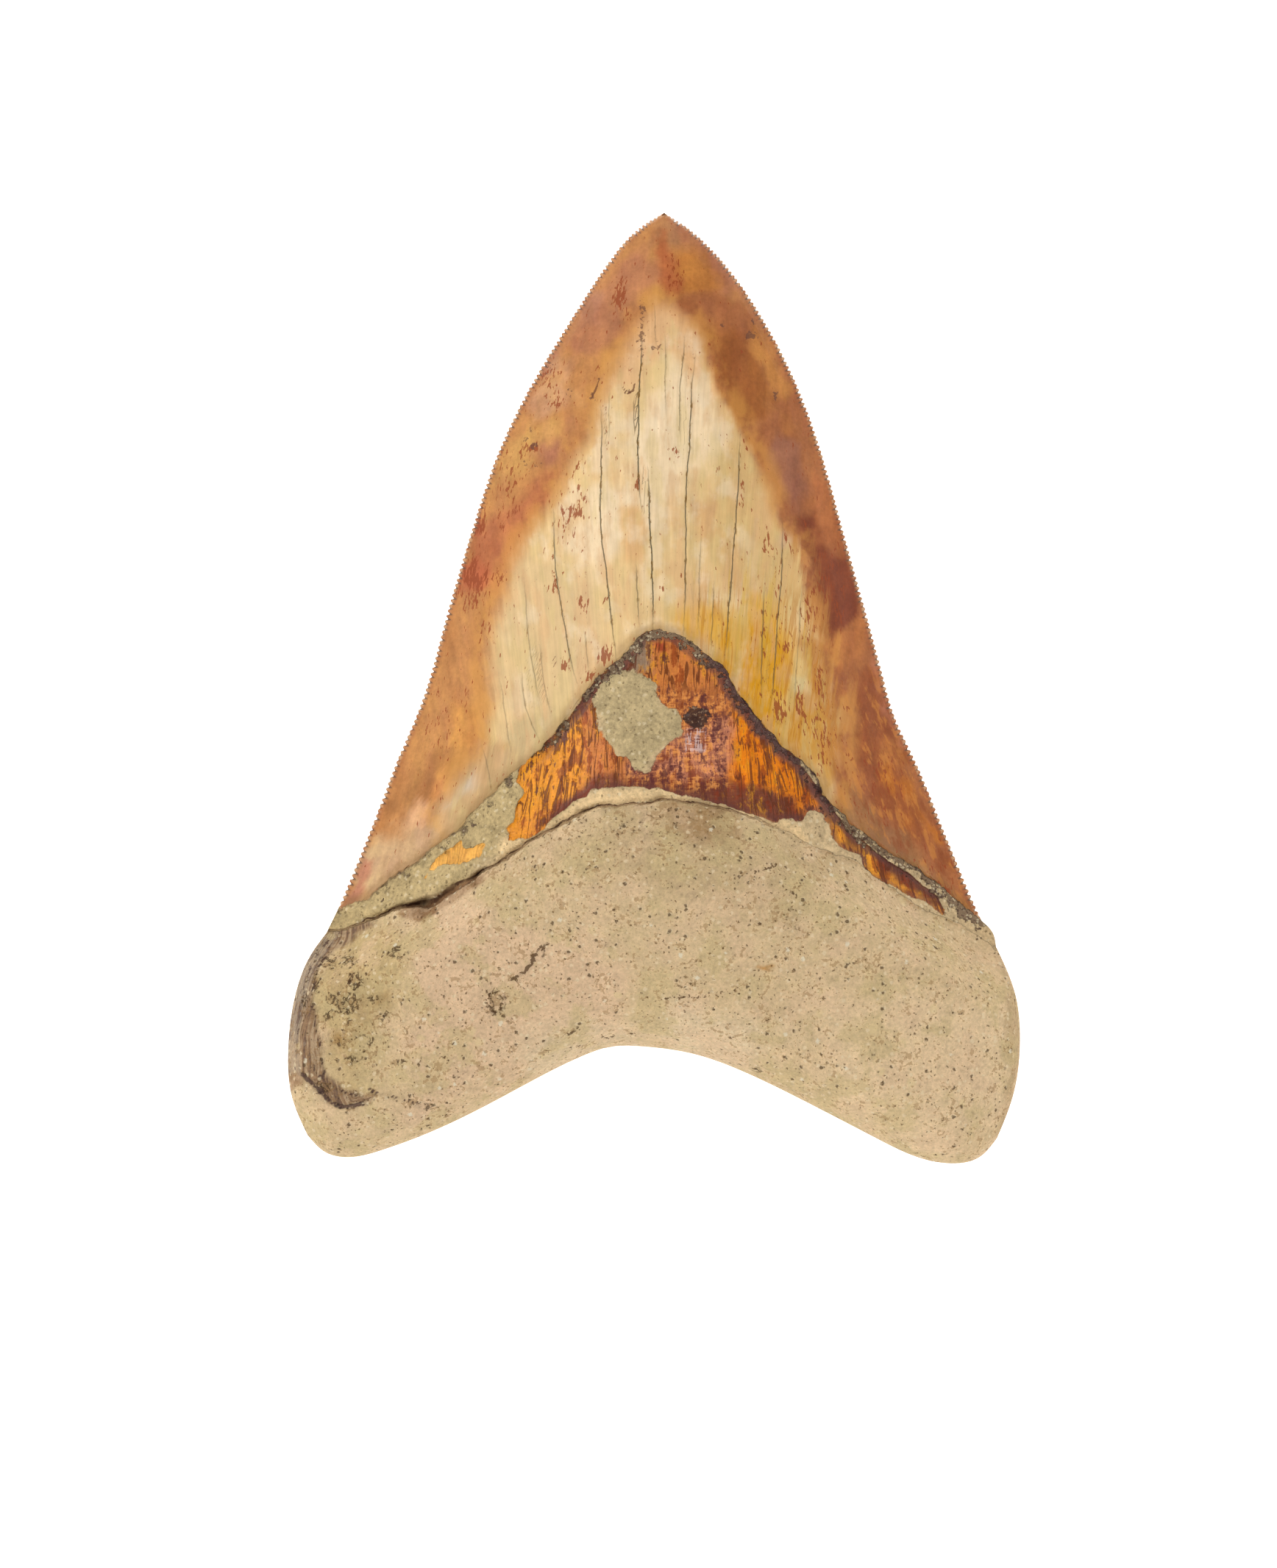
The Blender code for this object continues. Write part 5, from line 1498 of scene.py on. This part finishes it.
bump = start.node("Bump", {}, {"Strength": 1.0, "Distance": MM, "Height": relief})
tree.links.new(colour.socket, shader.inputs["Base Color"])
tree.links.new(roughness.socket, shader.inputs["Roughness"])
tree.links.new(bump.socket, shader.inputs["Normal"])
shader.inputs["Specular IOR Level"].default_value = REFLECTION
surface.materials.append(finish)
print("the tooth's material has", len(tree.nodes), "nodes")

# %% [markdown]
# ## Floor, light and camera
#
# The tooth lies on a plain pale table. Light comes mostly from a bright sky that is dimmer straight above,
# where the camera hangs, so shadows almost disappear and no haze lies over the colours. Two soft lamps on
# either side bring out the grain. The camera looks straight down through a long lens from 1.5 metres, which
# keeps the view nearly free of perspective.

# %% Table and sky
TABLE_SIZE, TABLE_DROP = 6.0, 0.00002
half = TABLE_SIZE / 2
corners = [(-half, -half, -TABLE_DROP), (half, -half, -TABLE_DROP), (half, half, -TABLE_DROP)]
table_top = bpy.data.meshes.new("table")
table_top.from_pydata([*corners, (-half, half, -TABLE_DROP)], [], [(0, 1, 2, 3)])
paper = bpy.data.materials.new("pale_paper")
paper.use_nodes = True
paper_shader = paper.node_tree.nodes["Principled BSDF"]
PAPER = {
    "Base Color": (0.93, 0.93, 0.93, 1), "Roughness": 0.9,
    "Emission Color": (1, 1, 1, 1), "Emission Strength": 0.6,
}
for name, value in PAPER.items():
    paper_shader.inputs[name].default_value = value
table_top.materials.append(paper)
table = bpy.data.objects.new("table", table_top)
bpy.context.scene.collection.objects.link(table)

SIDE_LIGHT, TOP_LIGHT, LEAN = 1.2, 0.45, 0.12
sky = bpy.data.worlds.new("studio")
sky.use_nodes = True
direction = Signal(sky.node_tree).node("TexCoord", {}, {}, "Generated")
climb = direction.node("SeparateXYZ", {}, {0: direction}, "Z")
from_left = 1 - climb.beside("X") * LEAN - climb.beside("Y") * LEAN
glow = lay(SIDE_LIGHT, TOP_LIGHT, above(climb, 0.55, 0.90)) * from_left
sky.node_tree.links.new(glow.socket, sky.node_tree.nodes["Background"].inputs["Color"])
bpy.context.scene.world = sky


# %% Lamps
def soft_lamp(name, place, size, watts):
    """A square lamp of the given size in metres, turned towards the middle of the tooth."""
    lamp = bpy.data.lights.new(name, "AREA")
    lamp.shape, lamp.size, lamp.energy = "SQUARE", size, watts
    holder = bpy.data.objects.new(name, lamp)
    holder.location = place
    holder.rotation_euler = (-Vector(place)).to_track_quat("-Z", "Y").to_euler()
    holder.visible_camera = False
    bpy.context.scene.collection.objects.link(holder)


soft_lamp("left_lamp", (-0.9, 0.4, 1.05), size=0.5, watts=6.0)
soft_lamp("right_lamp", (0.9, -0.1, 1.0), size=0.4, watts=3.0)

# %% Camera
VIEW_WIDTH, VIEW_HEIGHT = 188.5, 231.6
VIEW_CENTRE = (-2.28, -14.28)
CAMERA_HEIGHT = 1.5
view = bpy.data.cameras.new("camera")
view.sensor_width = 36
view.lens = view.sensor_width * CAMERA_HEIGHT / (VIEW_HEIGHT * MM)
view.clip_start, view.clip_end = 0.01, 20
camera = bpy.data.objects.new("camera", view)
camera.location = (VIEW_CENTRE[0] * MM, VIEW_CENTRE[1] * MM, CAMERA_HEIGHT)
bpy.context.scene.collection.objects.link(camera)
bpy.context.scene.camera = camera
bpy.context.scene.view_settings.view_transform = "Standard"
print("lens", round(view.lens, 1), "mm, frame", VIEW_WIDTH, "by", VIEW_HEIGHT, "mm")

# %% The end
bpy.context.view_layer.update()
